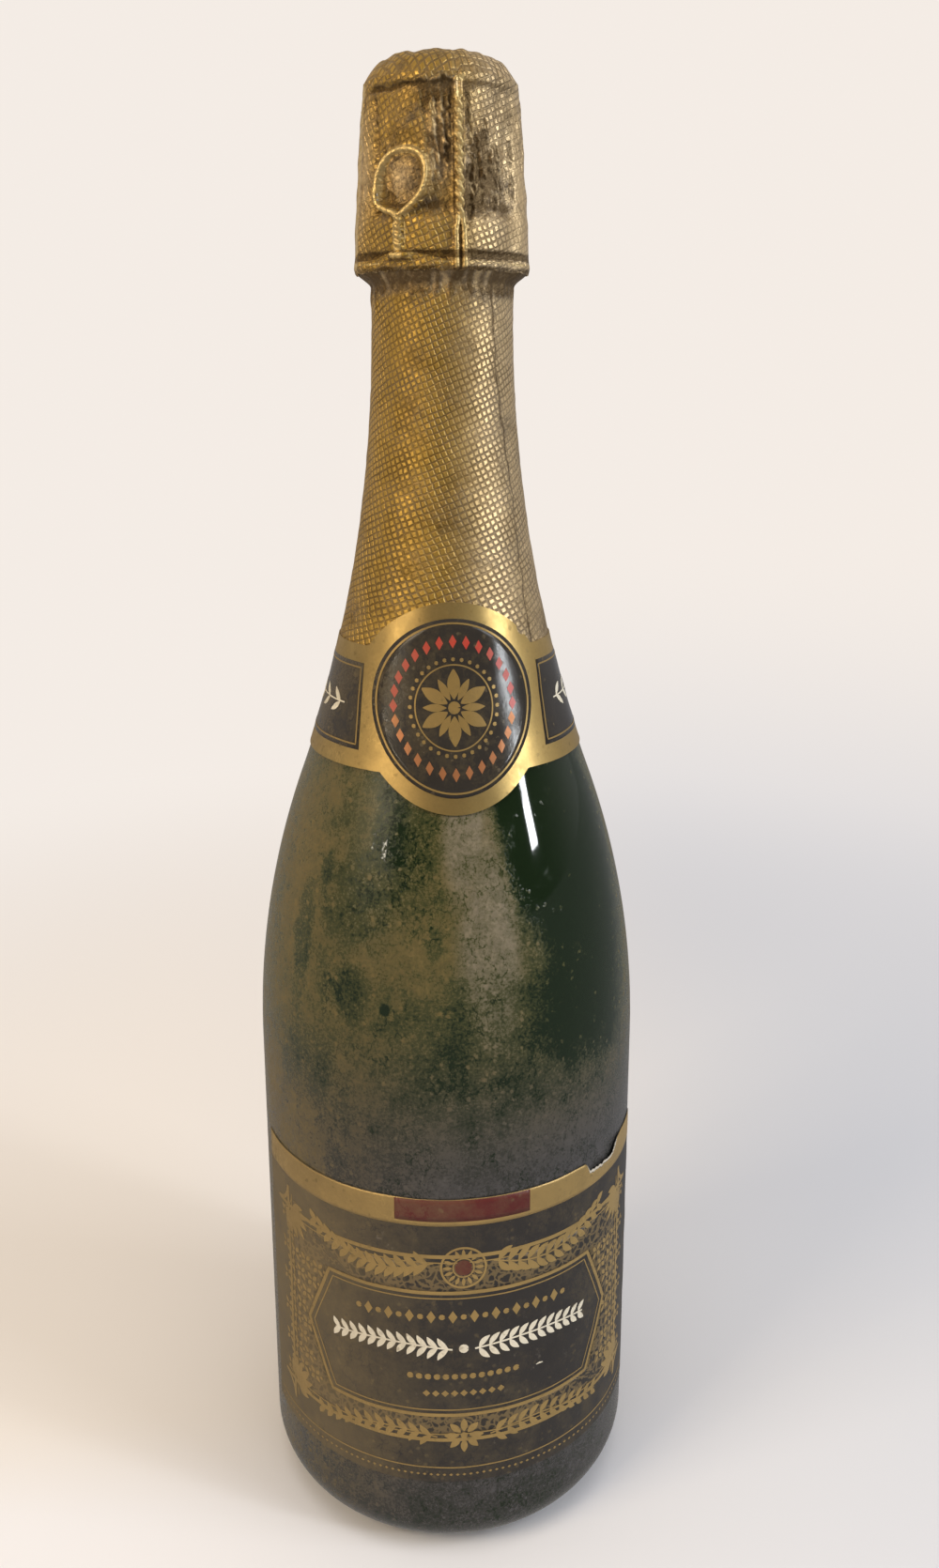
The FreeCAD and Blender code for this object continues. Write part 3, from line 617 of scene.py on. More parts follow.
cage_wire, tree, vector = new_material("galvanised wire")
tarnish = eased(tree, noise(tree, vector, 420.0, 5.0, 0.7), 0.4, 0.68)
wire_colour = mixed(tree, tarnish, WIRE_GREY, WIRE_TARNISH)
wire_rough = between(tree, tarnish, 0.28, 0.55)
drawn_marks = noise(tree, vector, 2600.0, 2.0)
paint(tree, {"Base Color": wire_colour, "Roughness": wire_rough, "Metallic": 1.0}, drawn_marks, 0.2, 0.0001)
for leg in range(4):
    start = math.radians(LEG_AZIMUTH + 90 * leg)
    end = start + math.pi / 2
    lead = CROWN_LEAD / CROWN_RADIUS
    crown = on_bottle(np.linspace(start + lead, end - lead, 40), CROWN_RADIUS, CROWN_HEIGHT)
    path = np.concatenate([strand(start, 1), crown, strand(end, -1)[::-1]])
    outward = path * (1.0, 1.0, 0.0)
    outward /= np.linalg.norm(outward, axis=1, keepdims=True)
    radial = np.abs(np.sum(outward * ahead_of(path), 1, keepdims=True))
    reference = outward * (1 - radial) - UPWARD * radial
    wire = piece(f"cage_strand_{leg + 1}", [tube(path, STRAND_RADIUS, reference)], crease=60.0)
    fit(wire, cage_wire, "wire_cage", f"frame_wire_{leg + 1}")

# Belt wire
# One heavier wire drawn round the neck under the ring of the glass. Its two ends turn outwards
# and carry the closing loop.
LOOP_AZIMUTH = -34.5
PIVOT_HEIGHT = 288.2
BELT_HEIGHT = 287.0
BELT_RADIUS = 15.75
BELT_WIRE = 0.55
END_SIDE = 1.7
END_EASE = 0.06
END_REACH = (17.6, 16.5)
loop_turn = math.radians(LOOP_AZIMUTH)
half_gap = math.asin(END_SIDE / BELT_RADIUS)


def belt_height(from_end):
    """Height of the belt by angle from its ends: level, rising to the loop's pivot at them."""
    return PIVOT_HEIGHT + (BELT_HEIGHT - PIVOT_HEIGHT) * smooth_step(from_end, 0.0, 0.5)


ease = half_gap + END_EASE
round_neck = np.linspace(loop_turn + ease, loop_turn + 2 * math.pi - ease, 160)
from_end = np.minimum(round_neck - round_neck[0], round_neck[-1] - round_neck)
reach = np.linspace(*END_REACH, 6)
aside = np.arcsin(END_SIDE / reach)
belt_path = np.concatenate([
    on_bottle(loop_turn + aside, reach, PIVOT_HEIGHT),
    on_bottle(round_neck, BELT_RADIUS, belt_height(from_end)),
    on_bottle(loop_turn - aside, reach, PIVOT_HEIGHT)[::-1],
])
belt = piece("belt_round_neck", [tube(belt_path, BELT_WIRE, UPWARD)], crease=60.0)
fit(belt, cage_wire, "wire_cage", "belt_wire")

# Closing loop
# The belt's wire doubled back and twisted into a short stem with an open eye, which was turned to
# draw the belt tight and then laid up against the cork's head.
PIVOT_RADIUS = 17.1
LOOP_WIRE = 0.5
STEM_LOW = 289.6
STEM_TOP = 296.0
STEM_TURNS = 2
STEM_SIDE = 0.47
STEM_DEPTH = 0.42
PIN_HALF = 0.95
PIN_RADIUS = 0.55
LOOP_LEAN = math.tan(math.radians(9.5))
# Distance sideways and height of the eye's corners
EYE_CORNERS = (
    (0.5, 296.0), (1.6, 296.8), (3.6, 298.4), (5.1, 300.3), (5.7, 302.8), (5.4, 305.2), (4.2, 307.1),
    (2.2, 308.2), (0.0, 308.4), (-2.4, 307.9), (-4.4, 306.2), (-5.4, 303.6), (-5.6, 300.6), (-5.2, 298.2),
    (-3.6, 297.1), (-1.4, 296.5), (-0.5, 296.0),
)
loop_out = np.array([math.sin(loop_turn), -math.cos(loop_turn), 0.0])
loop_across = np.array([math.cos(loop_turn), math.sin(loop_turn), 0.0])


def loop_radius(z):
    """Distance of the loop from the axis: upright beside the ring, then leaning in to the head."""
    return PIVOT_RADIUS - np.clip(z - STEM_TOP, 0, None) * LOOP_LEAN


def along_corners(corners):
    """Length of a bent path from its start to each of its corners."""
    return np.concatenate([[0], np.cumsum(np.linalg.norm(np.diff(corners, axis=0), axis=1))])


def eye_outline(count):
    """Eye as (sideways, height) points: up one side from the stem, over an arch, down the other.

    The run between the corners is drawn evenly and rounded off by a moving average.
    """
    corners = np.array(EYE_CORNERS)
    run = along_corners(corners)
    fine = np.linspace(0, run[-1], count)
    kernel = np.hanning(13)[1:-1] / np.hanning(13)[1:-1].sum()
    bent = [np.pad(np.interp(fine, run, corners[:, axis]), 5, "edge") for axis in (0, 1)]
    return np.stack([np.convolve(side, kernel, "valid") for side in bent], -1)


def at_loop(sideways, radius, z):
    """Points by distance sideways from the loop's middle, distance from the axis and height."""
    sideways, radius, z = np.broadcast_arrays(sideways, radius, z)
    return radius[..., None] * loop_out + sideways[..., None] * loop_across + z[..., None] * UPWARD


eye = eye_outline(120)
stem_z = np.linspace(PIVOT_HEIGHT, STEM_TOP, 60, endpoint=False)
wind = winding(stem_z, STEM_LOW, STEM_TOP, STEM_TURNS)
stems = [
    at_loop(side * STEM_SIDE * np.cos(wind), PIVOT_RADIUS + side * STEM_DEPTH * np.sin(wind), stem_z)
    for side in (1, -1)
]
eye_path = at_loop(eye[:, 0], loop_radius(eye[:, 1]), eye[:, 1])
loop_path = np.concatenate([stems[0], eye_path, stems[1][::-1]])
pin_path = at_loop(np.linspace(-PIN_HALF, PIN_HALF, 8), PIVOT_RADIUS, PIVOT_HEIGHT)
loop_grids = [tube(loop_path, LOOP_WIRE, loop_out), tube(pin_path, PIN_RADIUS, UPWARD)]
loop = piece("closing_loop", loop_grids, crease=60.0)
fit(loop, cage_wire, "twist_loop", "twist_loop")

# Foil hood
# Gold foil embossed with small pads, pressed by hand over cork and cage: it stands up over the
# legs, the belt and the closing loop, sinks in between them, is creased under the crown, and is
# torn off below the belt. Handling has dulled it where the pads were pressed flat and left dirt in
# the folds; its brown also holds painted shade in creases, hollows and under the crown's fold, it
# is painted brighter over the wires and the belt, and it turns grey to the right as painted cool light.
FOIL_GOLD = (0.52, 0.32, 0.066, 1.0)
FOIL_BROWN = (0.085, 0.05, 0.02, 1.0)
# Grey of foil pressed flat, also used as painted cool light on the right.
FOIL_GREY = (0.72, 0.55, 0.33, 1.0)
# Bright gold of rubbed foil, also used as a painted highlight over wires and ridges.
FOIL_BRIGHT = (0.72, 0.54, 0.24, 1.0)
FOIL_GRIME = (0.15, 0.115, 0.08, 1.0)
TORN_EDGE = 285.4
RIM_HEIGHT = 321.95
HOOD_TOP = 327.6
HOOD_MEAN = 16.5
PAD_MEAN = 16.8
PAD_PITCH = 1.3
HOOD_COLUMNS = 384
HOOD_ROWS = 160
FOIL_OVER_WIRE = 0.57
FOIL_OVER_LOOP = 0.64
FOIL_OVER_BELT = 0.75
BOSS_RADIUS = 18.4
RIM_FOLD = 319.5
FOIL_THICK = 0.15
EYE_FAR = 9.0
# Height and radius of the foil where it sinks in between the wires, and where it is drawn taut
SUNK = (
    (284.5, 15.9), (285.2, 16.3), (286.0, 16.75), (287.2, 16.75), (287.8, 16.05), (288.6, 16.05),
    (289.4, 16.75), (294.4, 16.85), (295.4, 16.5), (296.6, 15.6), (298.0, 15.15), (303.0, 15.25),
    (308.0, 15.1), (318.0, 15.1), (319.9, 15.15), (320.6, 15.72), (323.0, 15.72),
)
TAUT = (
    (284.5, 17.2), (285.3, 18.15), (286.6, 18.45), (288.2, 18.2), (295.4, 17.95), (302.8, 17.3),
    (311.8, 16.75), (315.4, 16.45), (320.7, 15.85), (323.0, 15.72),
)
# Azimuth and height of a crease's first and last end, its width and its depth
CREASES = (
    (-19.0, 320.0, -13.0, 309.0, 0.5, 0.5), (-9.0, 319.5, -3.0, 303.0, 0.45, 0.55),
    (-3.0, 320.5, 1.0, 306.0, 0.4, 0.5), (2.5, 319.0, 4.5, 310.0, 0.35, 0.35),
    (15.0, 318.0, 17.0, 309.0, 0.4, 0.3), (22.0, 311.0, 27.0, 298.5, 0.45, 0.5),
    (29.0, 313.0, 31.0, 304.0, 0.55, 0.7), (31.0, 306.0, 38.0, 298.0, 0.6, 0.75),
    (40.0, 309.0, 47.0, 300.0, 0.4, 0.5), (56.0, 310.0, 58.0, 299.0, 0.35, 0.4),
    (-62.0, 318.0, -58.0, 298.0, 0.4, 0.4), (120.0, 318.0, 132.0, 300.0, 0.5, 0.5),
    (150.0, 316.0, 146.0, 299.0, 0.5, 0.6), (-120.0, 319.0, -131.0, 302.0, 0.5, 0.5),
    (-150.0, 312.0, -160.0, 298.0, 0.5, 0.6),
)
# Azimuth, height, half width and half height of a place, then how much brown is added, how many creases or
# how deep
DARKENED = (
    (-5.0, 311.0, 3.0, 6.0, 0.05), (31.0, 306.0, 4.0, 6.5, 0.2), (37.0, 300.5, 3.0, 4.0, 0.15),
    (22.0, 304.0, 2.0, 8.0, 0.2), (14.0, 300.0, 2.5, 6.0, 0.25), (-1.0, 318.4, 5.0, 2.4, 0.45),
    (-36.0, 313.0, 4.0, 3.0, 0.2), (50.0, 300.0, 4.0, 6.0, 0.2), (140.0, 306.0, 7.0, 8.0, 0.35),
    (-130.0, 306.0, 7.0, 8.0, 0.3),
)
CRUMPLED = (
    (32.0, 304.5, 4.2, 6.0, 18), (-4.0, 310.5, 2.6, 7.5, 12), (-1.0, 318.3, 4.5, 1.3, 8),
    (18.0, 304.0, 1.6, 7.0, 8), (-52.0, 304.0, 2.5, 7.0, 6), (145.0, 306.0, 6.0, 7.0, 14),
    (-128.0, 307.0, 6.0, 7.0, 14),
)
DENTS = (
    (31.0, 308.5, 2.4, 2.4, 0.5), (35.0, 302.5, 2.6, 2.6, 0.6), (-2.0, 319.6, 5.0, 1.3, 0.45),
    (-26.0, 310.5, 2.6, 2.0, 0.3), (150.0, 306.0, 4.0, 3.0, 0.6), (-125.0, 311.0, 3.5, 3.0, 0.5),
)
# Azimuth, height, half width and half height of the places where hands and wires flattened the pads
PRESSED = (
    (-5.5, 309.0, 3.0, 10.0), (17.0, 303.0, 2.6, 8.0), (31.0, 302.0, 4.4, 6.5), (-36.0, 303.0, 4.0, 4.0),
    (0.0, 319.5, 6.0, 1.6), (65.0, 300.0, 4.0, 14.0), (-75.0, 304.0, 3.0, 12.0), (145.0, 305.0, 6.0, 9.0),
    (-128.0, 308.0, 6.0, 9.0),
)


def waves(a, b, seed, count, low, high):
    """Sum of plane waves over two flat coordinates, of seeded directions, lengths and phases."""
    draw = np.random.default_rng(seed)
    angle = draw.uniform(0, 2 * math.pi, count)
    rate = 2 * math.pi / draw.uniform(low, high, count)
    phase = draw.uniform(0, 2 * math.pi, count)
    total = np.zeros(np.broadcast(a, b).shape)
    for turn, fast, shift in zip(angle, rate, phase):
        total += np.sin(fast * (np.cos(turn) * a + np.sin(turn) * b) + shift)
    return total / math.sqrt(count)


def wrapped(angle):
    """Angle brought to within half a turn of zero."""
    return np.remainder(angle + math.pi, 2 * math.pi) - math.pi


def round_hood(azimuth, from_degrees):
    """Distance round the hood from an azimuth in degrees."""
    return wrapped(azimuth - math.radians(from_degrees)) * HOOD_MEAN


def soft_profile(z, places):
    """Radius at a height from a few places, rounded off between them."""
    heights, radii = np.transpose(places)
    fine = np.linspace(280, 330, 1001)
    kernel = np.hanning(11) / np.hanning(11).sum()
    smooth = np.convolve(np.pad(np.interp(fine, heights, radii), 5, "edge"), kernel, "valid")
    return np.interp(z, fine, smooth)


def soft_spot(azimuth, z, spot_azimuth, spot_z, wide, high):
    """Bell-shaped spot on the hood: 1 at its middle."""
    return np.exp(-((round_hood(azimuth, spot_azimuth) / wide) ** 2) - ((z - spot_z) / high) ** 2)


def segment_gap(a, z, first_z, last_a, last_z):
    """Distance from points to a straight run that starts at a height on the zero line."""
    rise = last_z - first_z
    share = np.clip((a * last_a + (z - first_z) * rise) / (last_a ** 2 + rise ** 2), 0, 1)
    return np.hypot(a - share * last_a, z - first_z - share * rise)


def crumples():
    """Short seeded creases about each crumpled place, mostly upright, in the form of a crease."""
    draw = np.random.default_rng(91)
    found = []
    for azimuth, z, wide, high, count in CRUMPLED:
        for _ in range(count):
            middle = draw.normal(0, 0.55, 2) * (wide, high)
            half = draw.uniform(0.7, 2.2)
            lean = draw.normal(math.pi / 2, 0.55)
            aside = math.degrees(half * math.cos(lean) / HOOD_MEAN)
            centre = azimuth + math.degrees(middle[0] / HOOD_MEAN)
            up = half * math.sin(lean)
            ends = (centre - aside, z + middle[1] - up, centre + aside, z + middle[1] + up)
            found.append(ends + (draw.uniform(0.26, 0.4), draw.uniform(0.25, 0.5)))
    return found


def rounded(gap, radius):
    """Height of a round ridge of a radius, at a distance from its middle."""
    return np.sqrt(np.clip(radius ** 2 - gap ** 2, 0, None))


def falling(gap, wide):
    """Slope that falls away beyond a gap of zero."""
    return np.exp(-np.clip(gap, 0, None) / wide)


def raised(radius, core, ridge, share):
    """Foil lifted from its core to a ridge, by a share of the way."""
    return np.maximum(radius, core + np.maximum(ridge - core, 0) * share)


def crumpled_foil(azimuth, z):
    """Radius of the foil between the wires, and the brown on it, which is dirt together with painted shade
    and painted highlights.

    It sinks to ring, lip and head in front and behind and is drawn taut at the sides. Creases,
    dents and small waves crumple it, a fold runs round under the crown and the belt stands out.
    """
    taut = smooth_step(np.abs(np.sin(azimuth + 0.07)), 0.8, 0.985)
    core = soft_profile(z, SUNK)
    core = core + taut * (soft_profile(z, TAUT) - core)
    around = azimuth * HOOD_MEAN
    open_foil = smooth_step(z, 296, 300) * smooth_step(z, 321, 318)
    core = core + 0.1 * open_foil * waves(around, z * 0.35, 3, 14, 1.6, 5.0)
    core = core + 0.06 * waves(around, z, 5, 14, 2.0, 7.0)
    soil = 0.4 + 0.16 * waves(around, z, 8, 10, 3.0, 12.0)
    # Dents and creases get brown: dirt in them and painted shade.
    for *place, depth in DENTS:
        dent = soft_spot(azimuth, z, *place)
        core = core - depth * dent
        soil = soil + 0.25 * dent
    stray = 0.25 * waves(around, z, 17, 8, 1.5, 5.0)
    for first, first_z, last, last_z, wide, depth in list(CREASES) + crumples():
        run = math.radians(last - first) * HOOD_MEAN
        away = segment_gap(round_hood(azimuth, first), z, first_z, run, last_z) + stray
        fold = bell(away, 0.0, wide)
        core = core - depth * fold + 0.3 * depth * bell(away, 2.2 * wide, wide)
        soil = soil + 0.42 * fold
    crease_z = RIM_FOLD + 0.4 * waves(around, 0 * z, 12, 6, 6.0, 24.0)
    under_rim = bell(z, crease_z, 0.55) * (1 - 0.8 * taut) * smooth_step(z, 320.8, 320.2)
    smoothed = smooth_step(azimuth, 0.1, 0.45) * smooth_step(azimuth, 1.6, 1.2)
    under_rim = under_rim * (1 - 0.75 * smoothed)
    core = core - 0.42 * under_rim
    # Painted shade: the fold under the crown is darkened brown.
    soil = soil + 0.9 * under_rim
    # Listed places darkened brown: dirt and painted shade among the crumples and under the crown's fold.
    for *place, amount in DARKENED:
        soil = soil + amount * soft_spot(azimuth, z, *place)
    # Painted shade: brown in the groove above the belt, under the belt's ridge and in the recess above the
    # ring; the ring band gets less brown as a painted highlight.
    soil = soil + np.exp(-(z - 288.25) ** 4) + 0.55 * smooth_step(z, 286.5, 286.0)
    soil = soil + 0.4 * bell(z, 297.6, 1.2) * (1 - taut)
    soil = np.maximum(soil - 0.3 * bell(z, 292.4, 1.8), 0.26)
    soil = soil + 0.3 * np.exp(-((z - 288.3) / 0.8) ** 4)
    core = np.maximum(core, HEAD_RADIUS + 0.6)
    over_belt = np.abs(z - belt_height(np.abs(wrapped(azimuth - loop_turn)) - half_gap))
    belt_ridge = BELT_RADIUS + 0.1 + rounded(over_belt, FOIL_OVER_BELT)
    core = np.where(over_belt < FOIL_OVER_BELT, np.maximum(core, belt_ridge), core)
    # Painted highlight: the belt's ridge keeps little brown.
    soil = np.where(over_belt < 0.6, np.minimum(soil, 0.4), soil)
    return core, soil


def over_legs(azimuth, z, core, soil):
    """Foil over the legs: a round ridge on each strand, and a short slope beside them."""
    radius = core
    stand = leg_radius(z)
    apart = strand_side(z)
    wind = winding(z, TWIST_LOW, TWIST_HIGH, LEG_TURNS)
    here = smooth_step(z, 285.1, 286.0) * smooth_step(z, 322.2, 320.4)
    for leg in range(4):
        away = wrapped(azimuth - math.radians(LEG_AZIMUTH + 90 * leg)) * stand
        slope = falling(np.abs(away) - 0.3 - apart, 0.55) * here
        radius = raised(radius, core, stand + 0.02 - 0.3 * (apart > 0.6), slope)
        for side in (1, -1):
            beside = np.abs(away - side * apart * np.cos(wind))
            ridge = stand + side * STRAND_OFFSET * np.sin(wind) + rounded(beside, FOIL_OVER_WIRE)
            radius = raised(radius, core, ridge, here * (beside < FOIL_OVER_WIRE))
        # Painted shade: brown in the hollows between the twisted strands and in a band beside each leg; the
        # slope over the leg loses brown and shows rubbed bright gold, real rubbing together with a painted
        # highlight.
        hollow = np.clip((stand + 0.42 - radius) / 0.5, 0, 1) * (np.abs(away) < 0.7 + apart) * here
        soil = soil + 0.35 * bell(np.abs(away), 1.7, 0.7) * here - slope + 1.1 * hollow
    return radius, soil


def over_loop(azimuth, z, core, radius, soil):
    """Foil over the closing loop: round ridges on its eye and stem, and a boss over its pivot."""
    angle = np.clip(wrapped(azimuth - loop_turn), -0.7, 0.7)
    slant = np.cos(angle)
    stand = loop_radius(z)
    away = stand * np.tan(angle)
    eye_gap = np.full(z.shape, EYE_FAR)
    close = (np.abs(away) < EYE_FAR) & (z < 312)
    spots = np.stack([away[close], z[close]], -1)
    eye_gap[close] = np.sqrt(((spots[:, None] - eye[None]) ** 2).sum(-1)).min(1)
    slope = falling(eye_gap - 0.5, 0.45)
    radius = raised(radius, core, stand / slant, slope)
    ridge = stand + rounded(eye_gap, FOIL_OVER_LOOP)
    radius = raised(radius, core, ridge / slant, eye_gap < FOIL_OVER_LOOP)
    wind = winding(z, STEM_LOW, STEM_TOP, STEM_TURNS)
    here = smooth_step(z, 287.2, 287.9) * smooth_step(z, 297.0, 296.2)
    stem_slope = falling(np.abs(away) - 0.8, 0.45) * here
    radius = raised(radius, core, PIVOT_RADIUS, stem_slope)
    steep = STEM_SIDE * 2 * math.pi * STEM_TURNS / (STEM_TOP - STEM_LOW) * np.sin(wind)
    for side in (1, -1):
        beside = np.abs(away - side * STEM_SIDE * np.cos(wind)) / np.sqrt(1 + steep ** 2)
        ridge = stand + side * STEM_DEPTH * np.sin(wind) + rounded(beside, FOIL_OVER_LOOP)
        radius = raised(radius, core, ridge / slant, here * (beside < FOIL_OVER_LOOP))
    boss = np.exp(-(away / 2.6) ** 6 - ((z - PIVOT_HEIGHT) / 0.85) ** 4)
    radius = raised(radius, core, BOSS_RADIUS, boss)
    # Painted shade: brown inside the eye, in the hollows of the stem's twist and close beside the eye's wire;
    # the wires' slopes and the belt's line lose brown as painted highlights.
    inside_eye = smooth_step(eye_gap, 0.8, 2.0) * (np.abs(away) < 5.6) * (z > 297.5) * (z < 307)
    hollow = np.clip((stand + 0.55 - radius * slant) / 0.5, 0, 1) * (np.abs(away) < 1.1) * here
    soil = soil + 0.22 * inside_eye - slope - stem_slope + 1.1 * hollow
    soil = soil + 0.4 * bell(eye_gap, 1.3, 0.5) - 0.35 * bell(z, BELT_HEIGHT, 0.3)
    return radius, soil


def hood_surface(azimuth, z):
    """Distance from the axis of the foil's outside, and how much brown it gets: dirt in its folds, painted
    shade in its creases and hollows, less as painted highlights on wires and ridges.
    """
    core, soil = crumpled_foil(azimuth, z)
    radius, soil = over_legs(azimuth, z, core, soil)
    radius, soil = over_loop(azimuth, z, core, radius, soil)
    return radius, np.clip(soil, 0, 1)


def drawn_round(columns, bias):
    """Azimuths all the way round, closer together in front by a bias."""
    share = np.linspace(-1, 1, columns + 1)
    return math.pi * share - bias * np.sin(math.pi * share)


hood_azimuth = drawn_round(HOOD_COLUMNS, 0.33)
torn = TORN_EDGE + 0.2 * waves(hood_azimuth * HOOD_MEAN, 0 * hood_azimuth, 21, 12, 1.5, 7.0)
torn[-1] = torn[0]
side_z = torn + (RIM_HEIGHT - torn) * np.linspace(0, 1, HOOD_ROWS)[:, None]
side_azimuth = np.broadcast_to(hood_azimuth, side_z.shape)
side_radius, side_soil = hood_surface(side_azimuth, side_z)
side_radius[:, -1] = side_radius[:, 0]
inward = np.cos(np.linspace(0, math.pi / 2, 34))[1:, None]
inward[-1] = 0
top_radius = side_radius[-1] * inward
fold_x = top_radius * np.sin(hood_azimuth)
fold_y = -top_radius * np.cos(hood_azimuth)
folds = waves(fold_x, fold_y, 31, 16, 2.0, 7.0)
top_z = RIM_HEIGHT + (HOOD_TOP - RIM_HEIGHT) * (1 - inward ** 6) ** 1.12
top_z = top_z - 0.22 * (1 + np.clip(folds, -1.5, 1.5)) * np.sin(np.pi * np.clip(inward, 0, 1)) ** 0.5
top_z[-1] = top_z[-1].mean()
# Top of the hood: brown rises in the dips between folds, as dirt and painted shade.
top_soil = np.clip(0.42 + 0.25 * folds, 0.24, 1)
outer_hood = np.concatenate([
    on_bottle(side_azimuth, side_radius, side_z), on_bottle(hood_azimuth, top_radius, top_z),
])


def lining(radius, rows, thickness):
    """Inside of a foil on a few of its rows: a thickness in from the least radius near each row."""
    reach = int(np.abs(np.diff(rows)).max()) + 1
    padded = np.pad(radius, ((reach, reach), (0, 0)), "edge")
    least = np.lib.stride_tricks.sliding_window_view(padded, 2 * reach + 1, axis=0).min(-1)
    return least[rows] - thickness


inner_rows = np.linspace(0, HOOD_ROWS - 2, 20).astype(int)[::-1]
inner_hood = np.concatenate([
    on_bottle(hood_azimuth, 0.0, top_z[-1] - FOIL_THICK)[None],
    on_bottle(hood_azimuth, top_radius[4:-1:6] - 0.1, top_z[4:-1:6] - FOIL_THICK)[::-1],
    on_bottle(side_azimuth[inner_rows], lining(side_radius, inner_rows, FOIL_THICK), side_z[inner_rows]),
    outer_hood[:1],
])
hood_pressed = np.max([soft_spot(side_azimuth, side_z, *place) for place in PRESSED], axis=0)
side_flat = np.stack([side_azimuth * PAD_MEAN, side_z], -1)
top_flat = np.stack([fold_x + 5.0, fold_y + 340.0], -1)
hood = piece(
    "hood_pressed", [outer_hood, inner_hood], crease=70.0,
    uvs=[np.concatenate([side_flat, top_flat]), inner_hood[..., :2]],
    soil=[np.concatenate([side_soil, top_soil]), np.full(inner_hood.shape[:2], 0.3)],
    pressed=[np.concatenate([hood_pressed, 0 * top_soil]), np.ones(inner_hood.shape[:2])],
)


def pad_group():
    """Embossed pads: two slanting families of grooves over flat coordinates in millimetres."""
    made, given, out = group("embossed pads", {"Flat": "Vector", "Pitch": "Float"}, "Pad")
    worn = noise(made, given["Flat"], 0.35, 3.0)
    gaps = []
    for lean in (math.radians(22.0), math.radians(112.0)):
        wanted = {0: given["Flat"], 1: (math.cos(lean), math.sin(lean), 0.0)}
        along = shade(made, "VectorMath", wanted, operation="DOT_PRODUCT").outputs["Value"]
        swayed = reckon(made, "MULTIPLY_ADD", worn, 0.9, along)
        gaps.append(reckon(made, "PINGPONG", reckon(made, "DIVIDE", swayed, given["Pitch"]), 0.5))
    made.links.new(eased(made, reckon(made, "MINIMUM", *gaps), 0.06, 0.24), out)
    return made


pads = pad_group()


def foil_material(name, least):
    """Embossed foil: bright pads and brown grooves, brown of dirt and painted shade in folds and hollows,
    rubbed bright gold as painted highlight and rubbing, and grey to the right as painted cool light and where
    pressed.

    The pads are pressed flat in patches; least is how much of them is left there.
    """
    material, tree, vector = new_material(name)
    flat = shade(tree, "UVMap", uv_map="flat").outputs[0]
    pad = shade(tree, "Group", {"Flat": flat, "Pitch": PAD_PITCH}, node_tree=pads).outputs[0]
    soil = shade(tree, "Attribute", attribute_name="soil").outputs["Fac"]
    pressed = shade(tree, "Attribute", attribute_name="pressed").outputs["Fac"]
    fine = noise(tree, vector, 1000.0, 4.0, 0.7)
    left = eased(tree, noise(tree, vector, 130.0, 3.0), 0.4, 0.6)
    # Little brown shows as rubbed bright gold: real rubbing over the wires together with a painted highlight.
    rubbed = reckon(tree, "MULTIPLY", eased(tree, soil, 0.16, 0.0), 0.7)
    flattened = reckon(tree, "MAXIMUM", reckon(tree, "MULTIPLY", pressed, 0.85), rubbed)
    kept = reckon(tree, "SUBTRACT", 1.0, flattened)
    shown = reckon(tree, "MULTIPLY", between(tree, left, least, 1.0), kept)
    cloud = noise(tree, vector, 90.0, 6.0, 0.65)
    dirt_and_shade = reckon(tree, "MULTIPLY_ADD", cloud, 0.9, reckon(tree, "SUBTRACT", soil, 0.55))
    dirt_and_shade = reckon(tree, "MULTIPLY_ADD", reckon(tree, "SUBTRACT", fine, 0.5), 1.5, dirt_and_shade)
    dirt_and_shade = reckon(tree, "MULTIPLY", eased(tree, dirt_and_shade, 0.05, 1.0), 0.9)
    # Painted cool light: the foil turns grey to the right, where the cool lamp falls; pressed places turn
    # grey as well.
    cool_lit_right = eased(tree, shade(tree, "SeparateXYZ", {0: vector}).outputs["X"], -0.003, 0.011)
    dulled_and_cool_lit = reckon(tree, "MULTIPLY", cool_lit_right, 0.8)
    dulled_and_cool_lit = reckon(tree, "MAXIMUM", dulled_and_cool_lit, reckon(tree, "MULTIPLY", pressed, 0.7))
    gold = mixed(tree, rubbed, mixed(tree, dulled_and_cool_lit, FOIL_GOLD, FOIL_GREY), FOIL_BRIGHT)
    deep = reckon(tree, "MULTIPLY", shown, 0.72)
    groove = reckon(tree, "MULTIPLY", reckon(tree, "SUBTRACT", 1.0, pad), deep)
    brown = reckon(tree, "MAXIMUM", groove, dirt_and_shade)
    dusty = eased(tree, noise(tree, vector, 160.0, 4.0), 0.35, 0.6)
    dusty = reckon(tree, "MULTIPLY", dusty, eased(tree, soil, 1.0, 0.75))
    colour = mixed(tree, brown, gold, mixed(tree, dusty, FOIL_BROWN, FOIL_GRIME))
    relief = reckon(tree, "MULTIPLY_ADD", fine, 0.5, reckon(tree, "MULTIPLY", pad, shown))
    sockets = {"Base Color": colour, "Roughness": between(tree, brown, 0.4, 0.62), "Metallic": 0.8}
    paint(tree, sockets, relief, 0.6, 0.0004)
    return material


fit(hood, foil_material("pressed gold foil", 0.8), "foil_hood", "foil_hood")
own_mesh(hood)

# Foil skirt
# The same foil smoothed down the neck: it is gathered under the belt, laps over itself in a seam
# on one side, and its lower edge runs under the paper collar.
SKIRT_LOW = 190.0
SKIRT_HIGH = 285.9
SKIRT_GAP = 0.2
SKIRT_MEAN = 17.0
SKIRT_COLUMNS = 260
PLEATS_FROM = 276.0
